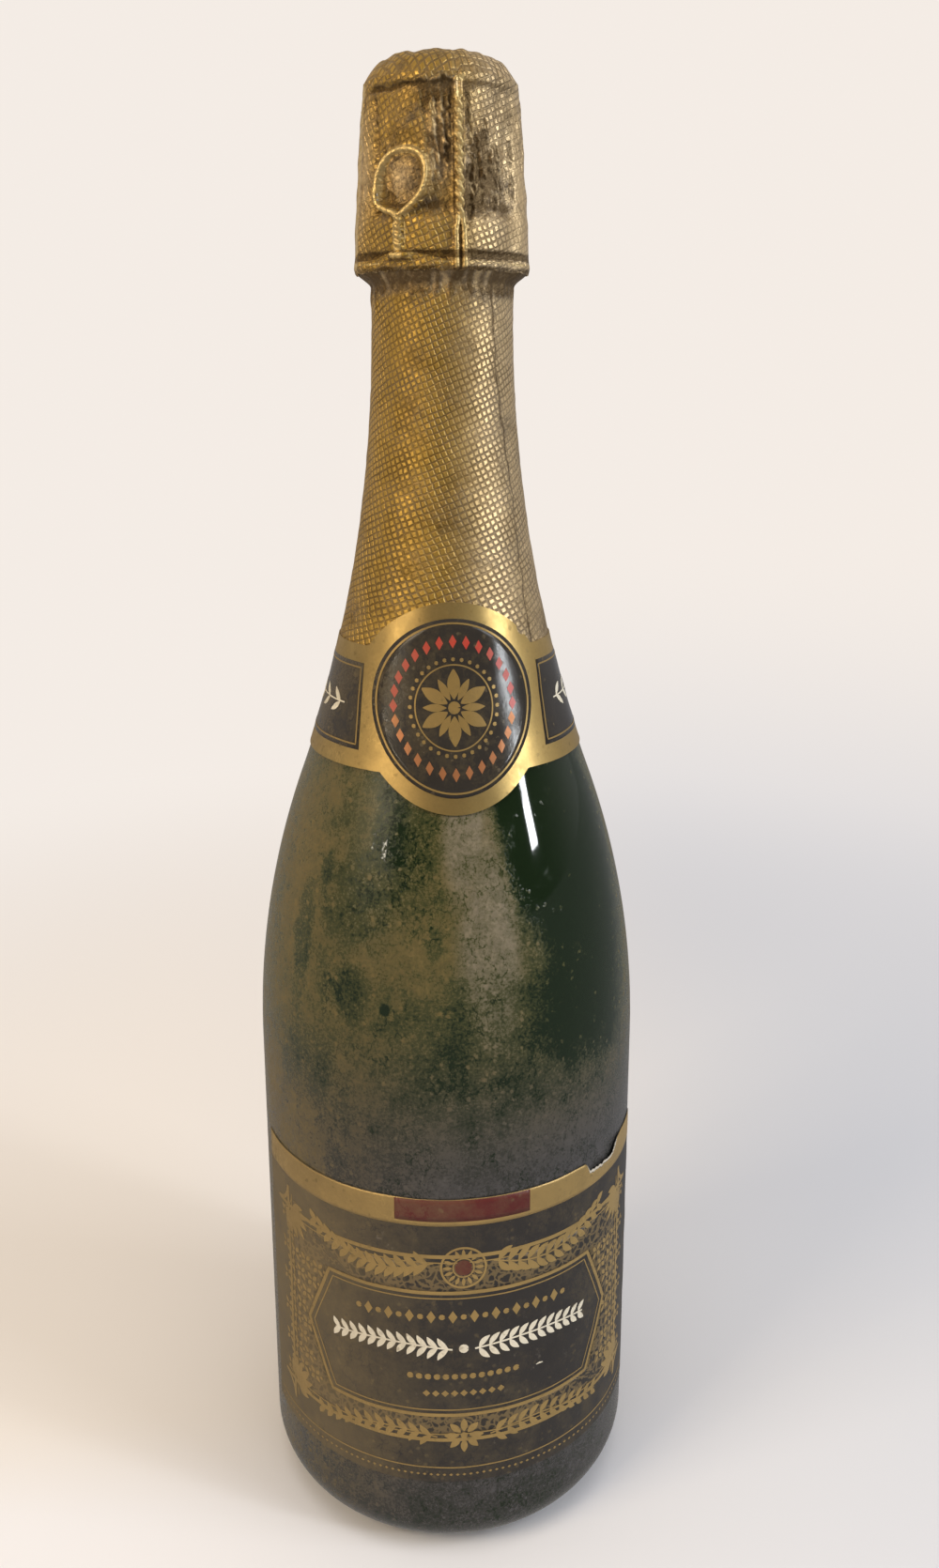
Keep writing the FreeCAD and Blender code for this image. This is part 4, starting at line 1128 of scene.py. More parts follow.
# Height and azimuth of places on the seam
SEAM = ((186.0, 47.0), (210.0, 48.4), (240.0, 51.3), (267.0, 39.6), (290.0, 33.0))
skirt_z = np.concatenate([
    np.linspace(SKIRT_LOW, PLEATS_FROM, 150, endpoint=False), np.linspace(PLEATS_FROM, SKIRT_HIGH, 50),
])
grid_z, grid_azimuth = np.meshgrid(skirt_z, drawn_round(SKIRT_COLUMNS, 0.3), indexing="ij")
on_glass = glass_radius(grid_z)
around = grid_azimuth * SKIRT_MEAN
edge, _ = hood_surface(grid_azimuth, np.maximum(grid_z, TORN_EDGE))
tuck = smooth_step(grid_z, 282.7, 286.0)
skirt_radius = on_glass + SKIRT_GAP
skirt_radius = skirt_radius + tuck * (edge - SKIRT_GAP - skirt_radius)
pleats = waves(grid_azimuth * 15.5, grid_z * 0.22, 41, 12, 1.4, 4.0)
gathered = smooth_step(grid_z, PLEATS_FROM, 282) * smooth_step(grid_z, 285.4, 283.4)
skirt_radius = skirt_radius + 0.14 * np.clip(pleats, -0.8, 2) * gathered
skirt_radius = skirt_radius + 0.05 * np.clip(waves(around, grid_z, 44, 14, 3.0, 12.0), -1, 1)
seam_azimuth = np.radians(np.interp(grid_z, *np.transpose(SEAM)))
past_seam = (grid_azimuth - seam_azimuth) * skirt_radius
past_seam = past_seam + 0.25 * waves(grid_z, 0 * grid_z, 47, 8, 2.0, 9.0)
skirt_radius = skirt_radius + 0.22 * smooth_step(past_seam, 0.35, -0.1) * smooth_step(past_seam, -9.0, -2.0)
skirt_radius[:, -1] = skirt_radius[:, 0]
# Skirt brown: random tone, a darker line along the seam's lap, tone that follows the pleats, and painted
# shade in the gathered tuck under the belt.
skirt_soil = 0.3 + 0.22 * waves(around, grid_z, 49, 10, 8.0, 30.0) + 0.9 * bell(past_seam, 0.35, 0.35)
skirt_soil += 0.75 * smooth_step(grid_z, 278.5, 282.5) + 0.25 * pleats * smooth_step(grid_z, PLEATS_FROM, 283)
outer_skirt = on_bottle(grid_azimuth, skirt_radius, grid_z)
thin = np.linspace(0, len(skirt_z) - 1, 30).astype(int)[::-1]
inner_radius = on_glass[thin] + lining(skirt_radius - on_glass, thin, 0.14)
inner_skirt = on_bottle(grid_azimuth[thin], inner_radius, grid_z[thin])
inner_skirt = np.concatenate([outer_skirt[-1:], inner_skirt, outer_skirt[:1]])
skirt = piece(
    "skirt_smoothed", [outer_skirt, inner_skirt], crease=70.0,
    uvs=[np.stack([around, grid_z], -1), inner_skirt[..., 1:]],
    soil=[np.clip(skirt_soil, 0.22, 1), np.full(inner_skirt.shape[:2], 0.3)],
    pressed=[smooth_step(grid_z, 280.0, 284.0), np.ones(inner_skirt.shape[:2])],
)
fit(skirt, foil_material("smoothed gold foil", 0.75), "bottle", "foil_skirt")

# Paper collar
# A die-cut band of gold paper round the shoulder with a round medallion in front, printed with
# black grounds and small ornaments in gold, red and cream, and pasted over the foil's edge.
MEDALLION_HEIGHT = 198.2
MEDALLION_WIDE = 20.0
MEDALLION_HIGH = 21.2
COLLAR_LOW = 184.7
COLLAR_HIGH = 209.5
COLLAR_END = 177.6
COLLAR_FRONT = 56.0
COLLAR_MEAN = 25.0
COLLAR_BACK = 0.34
COLLAR_FACE = 0.46
GROUND_LIFT = 0.5
INK_LIFT = 0.56
INK_FILM_METRES = 0.00002
GROUND_RADIUS = 17.9
OUTER_RING = 17.0
GEM_RING = 13.3
DOT_RING = 9.7
INNER_RING = 8.6
SPRIG_HEIGHT = 197.0
# Distance round the collar at which the sprigs start and end
SPRIG_ENDS = (25.0, 61.0)
# Front and back azimuth, low and high edge and slant of a side panel
SIDE_PANEL = (42.5, 168.0, 188.3, 205.8, 6.0)
# Azimuth and height of the corners of the gold line on a side panel
SIDE_LINE = ((168.0, 189.3), (44.6, 189.3), (50.0, 204.8), (168.0, 204.8))
COLLAR_GOLD = (0.5, 0.345, 0.125, 1.0)
COLLAR_WORN = (0.26, 0.16, 0.05, 1.0)
PRINT_BLACK = (0.03, 0.026, 0.022, 1.0)
BLACK_WORN = (0.12, 0.1, 0.075, 1.0)
PRINT_GOLD = (0.36, 0.235, 0.075, 1.0)
GOLD_WORN = (0.2, 0.13, 0.06, 1.0)
PRINT_RED = (0.42, 0.035, 0.02, 1.0)
RED_WORN = (0.2, 0.05, 0.04, 1.0)
PRINT_COPPER = (0.42, 0.16, 0.06, 1.0)
COPPER_WORN = (0.2, 0.1, 0.05, 1.0)
PRINT_CREAM = (0.72, 0.66, 0.52, 1.0)
CREAM_WORN = (0.5, 0.44, 0.33, 1.0)
PAPER_DUST = (0.17, 0.125, 0.055, 1.0)
TONE_DARK = (0.2, 0.2, 0.2, 1.0)
TONE_LIGHT = (0.8, 0.8, 0.8, 1.0)
# Places on X between which the dust thickens, and by how much
PAPER_DRIFT = (0.03, -0.04, 0.3)


def round_neck_at(azimuth, height, lift):
    """Points on the neck by azimuth, height and lift off the glass, on slightly wavy paper."""
    wave = 0.05 * waves(azimuth * 24, height, 61, 10, 6.0, 20.0)
    return on_bottle(azimuth, glass_radius(height) + lift + wave, height)


def over_neck(sideways, height, lift):
    """Points on the neck by distance sideways as seen from the front, height and lift off the glass."""
    radius = glass_radius(height) + lift
    return round_neck_at(np.arcsin(np.clip(sideways / radius, -1, 1)), height, lift)


def along_collar(distance, height, lift):
    """Points on the neck by distance round the collar, height and lift off the glass."""
    return round_neck_at(distance / COLLAR_MEAN, height, lift)


def sheet_grids(front, behind):
    """Closed sheet from its front and its back: both faces and a strip round the edge."""
    rims = [
        np.concatenate([side[0, :-1], side[:-1, -1], side[-1, :0:-1], side[:0:-1, 0], side[:1, 0]])
        for side in (behind, front)
    ]
    return [front, behind[:, ::-1], np.stack(rims)]


collar_azimuth = np.radians(np.concatenate([
    np.linspace(-COLLAR_END, -COLLAR_FRONT, 90, endpoint=False),
    np.linspace(-COLLAR_FRONT, COLLAR_FRONT, 220, endpoint=False),
    np.linspace(COLLAR_FRONT, COLLAR_END, 91),
]))
try_z = np.linspace(MEDALLION_HEIGHT - MEDALLION_HIGH, MEDALLION_HEIGHT + MEDALLION_HIGH, 1500)[:, None]
reach = np.abs(glass_radius(try_z) * np.sin(collar_azimuth)) / MEDALLION_WIDE
in_front = np.abs(collar_azimuth) < math.pi / 2
in_disc = (reach ** 2 + ((try_z - MEDALLION_HEIGHT) / MEDALLION_HIGH) ** 2 <= 1) & in_front
held = in_disc | ((try_z >= COLLAR_LOW) & (try_z <= COLLAR_HIGH))
low_edge = np.where(held, try_z, 999.0).min(0)
high_edge = np.where(held, try_z, -999.0).max(0)
collar_z = low_edge + (high_edge - low_edge) * np.linspace(0, 1, 44)[:, None]
collar_turn = np.broadcast_to(collar_azimuth, collar_z.shape)
collar_sides = [round_neck_at(collar_turn, collar_z, lift) for lift in (COLLAR_FACE, COLLAR_BACK)]
collar = piece("collar_paper", sheet_grids(*collar_sides), crease=50.0)


def print_material(
    name, colour, worn, metallic, gloss, cover, wear=0.5, shine=0.5, drift=PAPER_DRIFT, over=None,
):
    """Printed paper: ink with rubbed spots, paper fibre in its relief and dust on top.

    over is a function that lays a last colour over the finished one.
    """
    material, tree, vector = new_material(name)
    rubbed = eased(tree, noise(tree, vector, 330.0, 6.0, 0.72), 0.62, 0.78)
    ink = mixed(tree, reckon(tree, "MULTIPLY", rubbed, wear), colour, worn)
    tone = mixed(tree, noise(tree, vector, 90.0, 5.0, 0.6), TONE_DARK, TONE_LIGHT)
    ink = mixed(tree, 0.35, ink, tone, "OVERLAY")
    left = eased(tree, shade(tree, "SeparateXYZ", {0: vector}).outputs["X"], drift[0], drift[1])
    film = dust(tree, vector, reckon(tree, "MULTIPLY_ADD", left, drift[2], cover), 0.55)
    film = reckon(tree, "MULTIPLY", film, 0.75)
    shown = mixed(tree, film, ink, PAPER_DUST)
    if over is not None:
        shown = over(tree, shown)
    sockets = {"Base Color": shown, "Roughness": between(tree, film, gloss, 0.7), "Metallic": metallic,
               "Specular IOR Level": shine}
    paint(tree, sockets, noise(tree, vector, 1500.0, 4.0, 0.7), 0.25, 0.0001)
    return material


collar_gold = print_material("gold collar paper", COLLAR_GOLD, COLLAR_WORN, 0.85, 0.36, 0.08)
fit(collar, collar_gold, "bottle", "neck_label")


def ribbon(path, width, across=2):
    """Flat strip along a path of (sideways, height) points, as wide as stated at each point."""
    ahead = ahead_of(path)
    left = np.stack([-ahead[..., 1], ahead[..., 0]], -1)
    wide = np.broadcast_to(width, path.shape[:-1])[..., None]
    return np.stack([path + left * wide * share for share in np.linspace(0.5, -0.5, across)], -2)


def oval(x, z, wide, high, width, count):
    """Ring of a stated width."""
    turn = np.radians(np.linspace(0, 360, count))
    return ribbon(np.stack([x + wide * np.cos(turn), z + high * np.sin(turn)], -1), width)


def dot(x, z, radius, count=13):
    """Filled round dot."""
    return oval(x, z, radius / 2, radius / 2, radius, count)


def leaf(x, z, angle, length, width, bow, count=9):
    """Pointed leaf from a foot, along an angle in degrees, bowed to one side."""
    share = np.linspace(0, 1, count)
    turn = math.radians(angle)
    along = 0.037 + share * length
    aside = bow * length * np.sin(np.pi * share)
    path_x = x + along * math.cos(turn) - aside * math.sin(turn)
    path_z = z + along * math.sin(turn) + aside * math.cos(turn)
    wide = width * np.sin(np.pi * np.clip(share, 0.02, 0.98)) ** 0.8
    return ribbon(np.stack([path_x, path_z], -1), wide, 3 if width < 2 else 5)


def flower(x, z, count, foot, length, width, squeezed=1.0, first=0.0, points=9):
    """Ring of straight leaves about a middle, each from a foot at a distance from it."""
    made = []
    for angle in first + np.arange(count) * 360 / count:
        turn = math.radians(angle)
        foot_x = x + foot * squeezed * math.cos(turn)
        made.append(leaf(foot_x, z + foot * math.sin(turn), angle, length, width, 0.0, points))
    return made


def sprig(stem, thick, shares, spread, length, shorter, width, bows):
    """Stem with a pair of leaves at each share of its length, which shorten towards its tip."""
    sign = 1 if stem[-1, 0] > stem[0, 0] else -1
    sweep = np.linspace(0, 1, len(stem))
    made = [ribbon(stem, thick)]
    for share in shares:
        foot = [np.interp(share, sweep, stem[:, axis]) for axis in (0, 1)]
        for up, bow in zip((1, -1), bows):
            angle = 90 - 90 * sign + sign * up * spread
            made.append(leaf(*foot, angle, length - shorter * share, width, bow))
    return made


def lozenge(x, z, wide, high):
    """Filled lozenge."""
    path = np.array([(x - wide, z), (x, z), (x + wide, z)])
    return ribbon(path, np.array([0.02, 2 * high, 0.02]))


def filled(outline, centre, rings):
    """Filled shape between its middle and its outline, as a grid that bends with the paper."""
    share = np.linspace(1, 0, rings)[:, None, None]
    return np.swapaxes(centre + (outline[None] - centre) * share, 0, 1)


def printed(name, strips, place, lift, material, smooth=False):
    """Ink film: flat strips put on the paper by a function of sideways, height and lift."""
    grids = [place(strip[..., 0], strip[..., 1], lift) for strip in strips]
    film = piece(name, grids, closed=False, crease=60.0)
    if not smooth:
        film.data.shade_flat()
    film.data.materials.append(material)
    thick = film.modifiers.new("film", "SOLIDIFY")
    thick.thickness = INK_FILM_METRES
    thick.offset = -1.0
    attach(film, "bottle")


squeeze = MEDALLION_WIDE / MEDALLION_HIGH


def medallion_places(radius, count, first=0.0):
    """Places round the medallion at a distance from its middle, from an angle in degrees."""
    turn = np.radians(first + np.arange(count) * 360 / count)
    return np.stack([radius * squeeze * np.cos(turn), MEDALLION_HEIGHT + radius * np.sin(turn)], -1)


def panel_strip(first, last, low, high, slant):
    """Side panel of the collar as a grid of distance and height, its front edge slanting."""
    height = np.linspace(low, high, 12)[:, None]
    front = first + slant * (height - low) / (high - low)
    azimuth = np.radians(front + (last - front) * np.linspace(0, 1, 40))
    return np.stack(np.broadcast_arrays(azimuth * COLLAR_MEAN, height), -1)


turn = np.radians(np.linspace(0, 360, 97))
disc_edge = np.stack(
    [GROUND_RADIUS * squeeze * np.cos(turn), MEDALLION_HEIGHT + GROUND_RADIUS * np.sin(turn)], -1
)
disc_ground = filled(disc_edge, np.array([0.0, MEDALLION_HEIGHT]), 10)
ink_black = print_material("black collar ink", PRINT_BLACK, BLACK_WORN, 0.0, 0.16, -0.04, 0.5, 0.25)
ink_gold = print_material("gold ink", PRINT_GOLD, GOLD_WORN, 0.5, 0.36, 0.12)
printed("collar_disc_ground", [disc_ground], over_neck, GROUND_LIFT, ink_black, True)

right_panel = panel_strip(*SIDE_PANEL)
left_panel = (right_panel * (-1, 1))[:, ::-1]
fine = np.linspace(0, len(SIDE_LINE) - 1, 121)
line_azimuth, line_z = [np.interp(fine, np.arange(len(SIDE_LINE)), side) for side in np.transpose(SIDE_LINE)]
side_line = np.stack([np.radians(line_azimuth) * COLLAR_MEAN, line_z], -1)
side_lines = [ribbon(side_line * (sign, 1), 0.32) for sign in (1, -1)]
printed("collar_side_grounds", [right_panel, left_panel], along_collar, GROUND_LIFT, ink_black, True)
printed("collar_side_lines", side_lines, along_collar, INK_LIFT, ink_gold)

rosette = [
    oval(0, MEDALLION_HEIGHT, OUTER_RING * squeeze, OUTER_RING, 0.38, 97),
    oval(0, MEDALLION_HEIGHT, INNER_RING * squeeze, INNER_RING, 0.3, 73),
    dot(0, MEDALLION_HEIGHT, 1.3),
]
rosette += [dot(x, z, 0.42, 9) for x, z in medallion_places(DOT_RING, 32)]
rosette += flower(0, MEDALLION_HEIGHT, 6, 1.7, 4.8, 1.6, squeeze)
rosette += flower(0, MEDALLION_HEIGHT, 6, 1.7, 6.0, 2.7, squeeze, 30.0)
printed("collar_rosette", rosette, over_neck, INK_LIFT, ink_gold)
red_row = []
copper_row = []
for x, z in medallion_places(GEM_RING, 28, 90.0):
    row = red_row if z > MEDALLION_HEIGHT - GEM_RING / 10 else copper_row
    row.append(lozenge(x, z, 0.8, 1.4))
ink_red = print_material("red ink", PRINT_RED, RED_WORN, 0.0, 0.35, 0.1)
ink_copper = print_material("copper ink", PRINT_COPPER, COPPER_WORN, 0.4, 0.36, 0.1)
ink_cream = print_material("cream ink", PRINT_CREAM, CREAM_WORN, 0.0, 0.45, 0.02, 0.3)
printed("collar_red_row", red_row, over_neck, INK_LIFT, ink_red)
printed("collar_copper_row", copper_row, over_neck, INK_LIFT, ink_copper)
sprigs = []
for sign in (1, -1):
    stem = np.stack([sign * np.linspace(*SPRIG_ENDS, 40), np.full(40, SPRIG_HEIGHT)], -1)
    shares = (1.5 + 5.2 * np.arange(7)) / (SPRIG_ENDS[1] - SPRIG_ENDS[0])
    sprigs += sprig(stem, 0.3, shares, 38, 3.9, 0.0, 1.3, (0.05, 0.05))
printed("collar_sprigs", sprigs, along_collar, INK_LIFT, ink_cream)

# Front label
# Black paper printed with a gold strip, a dark red panel and gold and cream ornament, pasted round
# the front of the straight wall. Its top edge is torn and lifts on the right, and it is scuffed.
LABEL_RADIUS = 44.2
LABEL_HALF = 57.0
LABEL_LOW = 21.4
LABEL_HIGH = 94.4
LABEL_BACK = -0.14
LABEL_FACE = -0.03
FILIGREE_LIFT = -0.0033
GILT_LIFT = 0.01
PANEL_LIFT = 0.035
STRIP_LOW = 87.8
TEAR_FROM = 30.5
TEAR_TO = 44.5
FINE_FROM = 26.0
FINE_TO = 48.0
# Half width, low edge, high edge and corner notch of the frames
OUTER_FRAME = (51.5, 27.8, 85.2, 5.0)
INNER_FRAME = (50.0, 29.3, 83.7, 5.0)
# Half width, length of the points, low edge and high edge of the plaque
PLAQUE = (32.0, 7.0, 39.4, 71.1)
PLAQUE_LINE = (30.9, 6.4, 40.8, 69.7)
PLAQUE_MIDDLE = 55.25
PLAQUE_CLEAR = 41.0
PLAQUE_SLOPE = 7.0 / 16.25
UPPER_BRANCH = 78.6
ROSETTE_HEIGHT = 77.4
GEM_ROW = 65.0
CREAM_BRANCH = 56.6
DOT_ROW = 49.6
LOZENGE_ROW = 45.2
BASE_FLOWER_HEIGHT = 33.9
LOWER_BRANCH = 33.6
FOOT_LINE = 25.3
FOOT_ROW = 23.4
FILLER_LOW = 31.4
FILLER_PITCH = 4.2
# Half width, low edge and high edge of the red panel
RED_PANEL = (15.0, 88.9, 94.15)
# Place and heading of the fans of leaves in the corners
FANS = ((44.8, 79.0, 225), (-44.8, 79.0, 315), (44.8, 34.0, 135), (-44.8, 34.0, 45))
# Place and width of the points of a small cream dash
DASH = ((17.0, 48.6, 0.1), (17.9, 48.75, 0.45), (18.8, 48.6, 0.15))
LABEL_BLACK = (0.028, 0.024, 0.021, 1.0)
LABEL_WORN = (0.2, 0.17, 0.13, 1.0)
LABEL_GOLD = (0.42, 0.285, 0.105, 1.0)
LABEL_GOLD_WORN = (0.13, 0.09, 0.045, 1.0)
LABEL_RED = (0.1, 0.012, 0.009, 1.0)
LABEL_RED_WORN = (0.16, 0.06, 0.045, 1.0)
LABEL_CREAM_WORN = (0.45, 0.4, 0.3, 1.0)
PAPER_WHITE = (0.62, 0.56, 0.46, 1.0)
FILIGREE_GOLD = (0.2, 0.14, 0.06, 1.0)
LABEL_DRIFT = (0.002, -0.037, 0.8)
GILT_DRIFT = (0.002, -0.037, 0.5)


def in_tear(sideways, ease):
    """How far a place lies within the tear, by distance round the wall, with an easing at its end."""
    return smooth_step(sideways, TEAR_FROM, TEAR_FROM + 2.0) * smooth_step(sideways, TEAR_TO, TEAR_TO - ease)


def torn_top(sideways):
    """Height of the label's top edge: level, with a ragged bite torn out on the right."""
    fray = 0.25 * waves(sideways, 0 * sideways, 71, 10, 0.8, 4.0)
    level = LABEL_HIGH + 0.05 * waves(sideways, 0 * sideways, 73, 8, 6.0, 30.0)
    return level - in_tear(sideways, 5.0) * (2.3 + fray)


def on_paper(sideways, height, lift):
    """Points by distance round the wall, height and lift, on paper that waves and curls at the tear."""
    curl = 0.75 * smooth_step(height, 86.5, 93.0) ** 2
    curl = curl * smooth_step(sideways, TEAR_FROM - 2, TEAR_FROM + 6)
    curl = curl * smooth_step(sideways, TEAR_TO + 4, TEAR_TO - 5)
    wave = 0.035 * waves(sideways, height, 77, 12, 6.0, 25.0)
    return on_bottle(sideways / LABEL_RADIUS, LABEL_RADIUS + curl + wave + lift, height)


def torn_fibre(tree, colour):
    """Pale fibre of the paper where its face is torn off."""
    bare = shade(tree, "Attribute", attribute_name="fibre").outputs["Fac"]
    return mixed(tree, bare, colour, PAPER_WHITE)


label_side = np.concatenate([
    np.linspace(-LABEL_HALF, FINE_FROM, 90, endpoint=False),
    np.linspace(FINE_FROM, FINE_TO, 90, endpoint=False), np.linspace(FINE_TO, LABEL_HALF, 16),
])
label_top = torn_top(label_side)
rows = np.concatenate([np.linspace(0, 0.955, 56, endpoint=False), np.linspace(0.955, 1, 22)])[:, None]
label_z = LABEL_LOW + (label_top - LABEL_LOW) * rows
label_a = np.broadcast_to(label_side, label_z.shape)
label_grids = sheet_grids(*[on_paper(label_a, label_z, lift) for lift in (LABEL_FACE, LABEL_BACK)])
fibre = smooth_step(label_z, label_top - 1.0, label_top - 0.45) * in_tear(label_a, 1.5)
rim_fibre = np.zeros(label_grids[2].shape[:2])
label = piece("front_label_paper", label_grids, crease=50.0, fibre=[fibre, fibre[:, ::-1], rim_fibre])
black_paper = print_material(
    "black label paper", LABEL_BLACK, LABEL_WORN, 0.0, 0.42, 0.07, 0.7, drift=LABEL_DRIFT, over=torn_fibre,
)
fit(label, black_paper, "bottle", "front_label")


def block(across, low, high, rows):
    """Filled strip between two edges, as a grid; the edges may differ along it."""
    height = low + (high - low) * np.linspace(0, 1, rows)[:, None] + 0 * across
    return np.stack(np.broadcast_arrays(across, height), -1)


def polyline(corners):
    """Path along straight runs between corners, with points about a millimetre apart."""
    corners = np.asarray(corners, float)
    run = along_corners(corners)
    fine = np.unique(np.concatenate([np.linspace(0, run[-1], max(int(run[-1]), 2)), run]))
    return np.stack([np.interp(fine, run, corners[:, axis]) for axis in (0, 1)], -1)


def notched(half_wide, low, high, notch):
    """Rectangle whose corners are cut in as quarter circles."""
    quarter = np.radians(np.linspace(0, 90, 12))
    bite = notch * np.stack([np.cos(quarter), np.sin(quarter)], -1)
    right_low = (half_wide, low) + bite[::-1] * (-1, 1)
    right_high = (half_wide, high) - bite
    left_high = (-half_wide, high) + bite[::-1] * (1, -1)
    left_low = (-half_wide, low) + bite
    return polyline(np.concatenate([right_low, right_high, left_high, left_low, right_low[:1]]))


def hexagon(half_wide, point, low, high):
    """Plaque with pointed ends."""
    middle = (low + high) / 2
    right = [(half_wide, low), (half_wide + point, middle), (half_wide, high)]
    left = [(-half_wide, high), (-half_wide - point, middle), (-half_wide, low)]
    return polyline(right + left + right[:1])


def reach_by_angle(path, middle, angles):
    """Distance from a middle to a closed outline in each direction."""
    off = path - middle
    turn = np.arctan2(off[:, 1], off[:, 0])
    order = np.argsort(turn)
    return np.interp(angles, turn[order], np.hypot(off[:, 0], off[:, 1])[order], period=2 * math.pi)


def filigree_lines(tree, colour):
    """Fine curling gold strokes."""
    vector = shade(tree, "TexCoord").outputs["Object"]
    gap = cell_edge(tree, stirred(tree, vector, 420.0, 0.0035), 560.0)
    stroke = reckon(tree, "MULTIPLY", eased(tree, gap, 0.2, 0.08), 0.75)
    return mixed(tree, stroke, colour, FILIGREE_GOLD)


middle = np.array([0.0, PLAQUE_MIDDLE])
angles = np.linspace(-math.pi, math.pi, 361)
direction = np.stack([np.cos(angles), np.sin(angles)], -1)
inner_reach = reach_by_angle(hexagon(*PLAQUE), middle, angles)[:, None]
outer_reach = reach_by_angle(notched(*INNER_FRAME), middle, angles)[:, None]
depth = inner_reach + (outer_reach - inner_reach) * np.linspace(0.03, 0.97, 6)
filigree = middle + direction[:, None] * depth[..., None]
filigree_ink = print_material(
    "filigree ink", LABEL_BLACK, LABEL_WORN, 0.1, 0.42, 0.07, 0.7, drift=LABEL_DRIFT, over=filigree_lines,
)
printed("front_label_filigree", [filigree], on_paper, FILIGREE_LIFT, filigree_ink, True)

gilding = [
    ribbon(notched(*OUTER_FRAME), 0.9), ribbon(notched(*INNER_FRAME), 0.28),
    ribbon(hexagon(*PLAQUE), 0.85), ribbon(hexagon(*PLAQUE_LINE), 0.3),
    ribbon(polyline([(-54.5, FOOT_LINE), (54.5, FOOT_LINE)]), 0.3),
    oval(0, ROSETTE_HEIGHT, 4.9, 4.9, 0.5, 49), oval(0, ROSETTE_HEIGHT, 2.3, 2.3, 0.3, 33),
    dot(0, BASE_FLOWER_HEIGHT, 0.8),
]
gilding += [lozenge(step * 1.5, FOOT_ROW, 0.42, 0.32) for step in range(-36, 37)]
gilding += [lozenge(step * 2.4, GEM_ROW, 1.0, 1.6) for step in range(-9, 10, 2)]
gilding += [dot(step * 2.4, GEM_ROW, 0.7, 11) for step in range(-10, 11, 2)]
gilding += [dot(step * 2.0, DOT_ROW, 0.75, 11) for step in range(-6, 7)]
gilding += [lozenge(step * 2.1, LOZENGE_ROW, 0.85, 0.85) for step in range(-4, 5)]
gilding += flower(0, ROSETTE_HEIGHT, 16, 2.5, 2.0, 0.8, points=7)
gilding += flower(0, BASE_FLOWER_HEIGHT, 8, 1.1, 3.3, 1.6)
sweep = np.linspace(0, 1, 40)
branches = []
for sign in (1, -1):
    upper_z = UPPER_BRANCH - 3.0 * np.sin(np.pi * sweep * 1.15) + 2.2 * sweep
    upper = np.stack([sign * (6.6 + 30.0 * sweep), upper_z], -1)
    gilding += sprig(upper, 0.34, (np.arange(13) + 0.5) / 13, 44, 4.4, 1.4, 1.6, (0.1, -0.1))
    lower_z = LOWER_BRANCH + 1.6 * np.sin(np.pi * sweep * 1.4)
    lower = np.stack([sign * (6.0 + 30.0 * sweep), lower_z], -1)
    gilding += sprig(lower, 0.34, (np.arange(11) + 0.5) / 11, 46, 3.7, 1.1, 1.45, (0.1, -0.1))
    centre_z = CREAM_BRANCH + 1.2 * np.sin(np.pi * sweep)
    centre = np.stack([sign * (2.5 + 28.0 * sweep), centre_z], -1)
    branches += sprig(centre, 0.42, (np.arange(12) + 0.4) / 12, 50, 3.7, 0.8, 1.35, (0.08, -0.08))
for row in range(13):
    height = FILLER_LOW + row * FILLER_PITCH
    for column in range(-12, 13):
        across = (column + row % 2 / 2) * FILLER_PITCH
        past_point = abs(across) - PLAQUE_CLEAR + abs(height - PLAQUE_MIDDLE) * PLAQUE_SLOPE
        from_edge = min(height - OUTER_FRAME[1], OUTER_FRAME[2] - height)
        corner_gap = math.hypot(OUTER_FRAME[0] - abs(across), from_edge)
        busy = abs(across) < 44 and (height > 71.5 or height < 39.0)
        if past_point < 0 or abs(across) > 48.4 or corner_gap < 7.0 or busy:
            continue
        gilding += flower(across, height, 4, 0.3, 1.8, 1.05, first=45.0, points=6)
        gilding.append(dot(across + FILLER_PITCH / 2, height, 0.42, 9))
for across, height, lean in FANS:
    for step in range(-3, 4):
        gilding.append(leaf(across, height, lean + 26 * step, 6.4 - 0.5 * abs(step), 1.9, 0.06 * step))
    gilding.append(dot(across, height, 1.0))
strip_side = np.concatenate([
    np.linspace(-LABEL_HALF + 0.2, FINE_FROM, 60), np.linspace(FINE_FROM + 0.5, FINE_TO, 60),
    np.linspace(FINE_TO + 0.5, LABEL_HALF - 0.2, 12),
])
strip_top = torn_top(strip_side) - 0.12 - 0.75 * in_tear(strip_side, 1.5)
gold_strip = block(strip_side, STRIP_LOW, strip_top, 10)
red_panel = block(np.linspace(-RED_PANEL[0], RED_PANEL[0], 40), *RED_PANEL[1:], 5)
label_gilt = print_material(
    "gold label ink", LABEL_GOLD, LABEL_GOLD_WORN, 0.45, 0.4, 0.04, 0.8, drift=GILT_DRIFT,
)
label_red = print_material("dark red label ink", LABEL_RED, LABEL_RED_WORN, 0.0, 0.42, 0.12)
label_cream = print_material("cream label ink", PRINT_CREAM, LABEL_CREAM_WORN, 0.0, 0.5, 0.02, 0.3)
printed("front_label_gilding", gilding, on_paper, GILT_LIFT, label_gilt)
printed("front_label_red_panel", [red_panel], on_paper, PANEL_LIFT, label_red, True)
printed("front_label_gold_strip", [gold_strip], on_paper, GILT_LIFT, label_gilt, True)
branches.append(dot(0, CREAM_BRANCH + 0.2, 1.1))
dash = np.array(DASH)
branches.append(ribbon(dash[:, :2], dash[:, 2]))
printed("front_label_branch", branches, on_paper, GILT_LIFT, label_cream)
printed("front_label_rosette_centre", [dot(0, ROSETTE_HEIGHT, 1.9, 21)], on_paper, PANEL_LIFT, label_red)

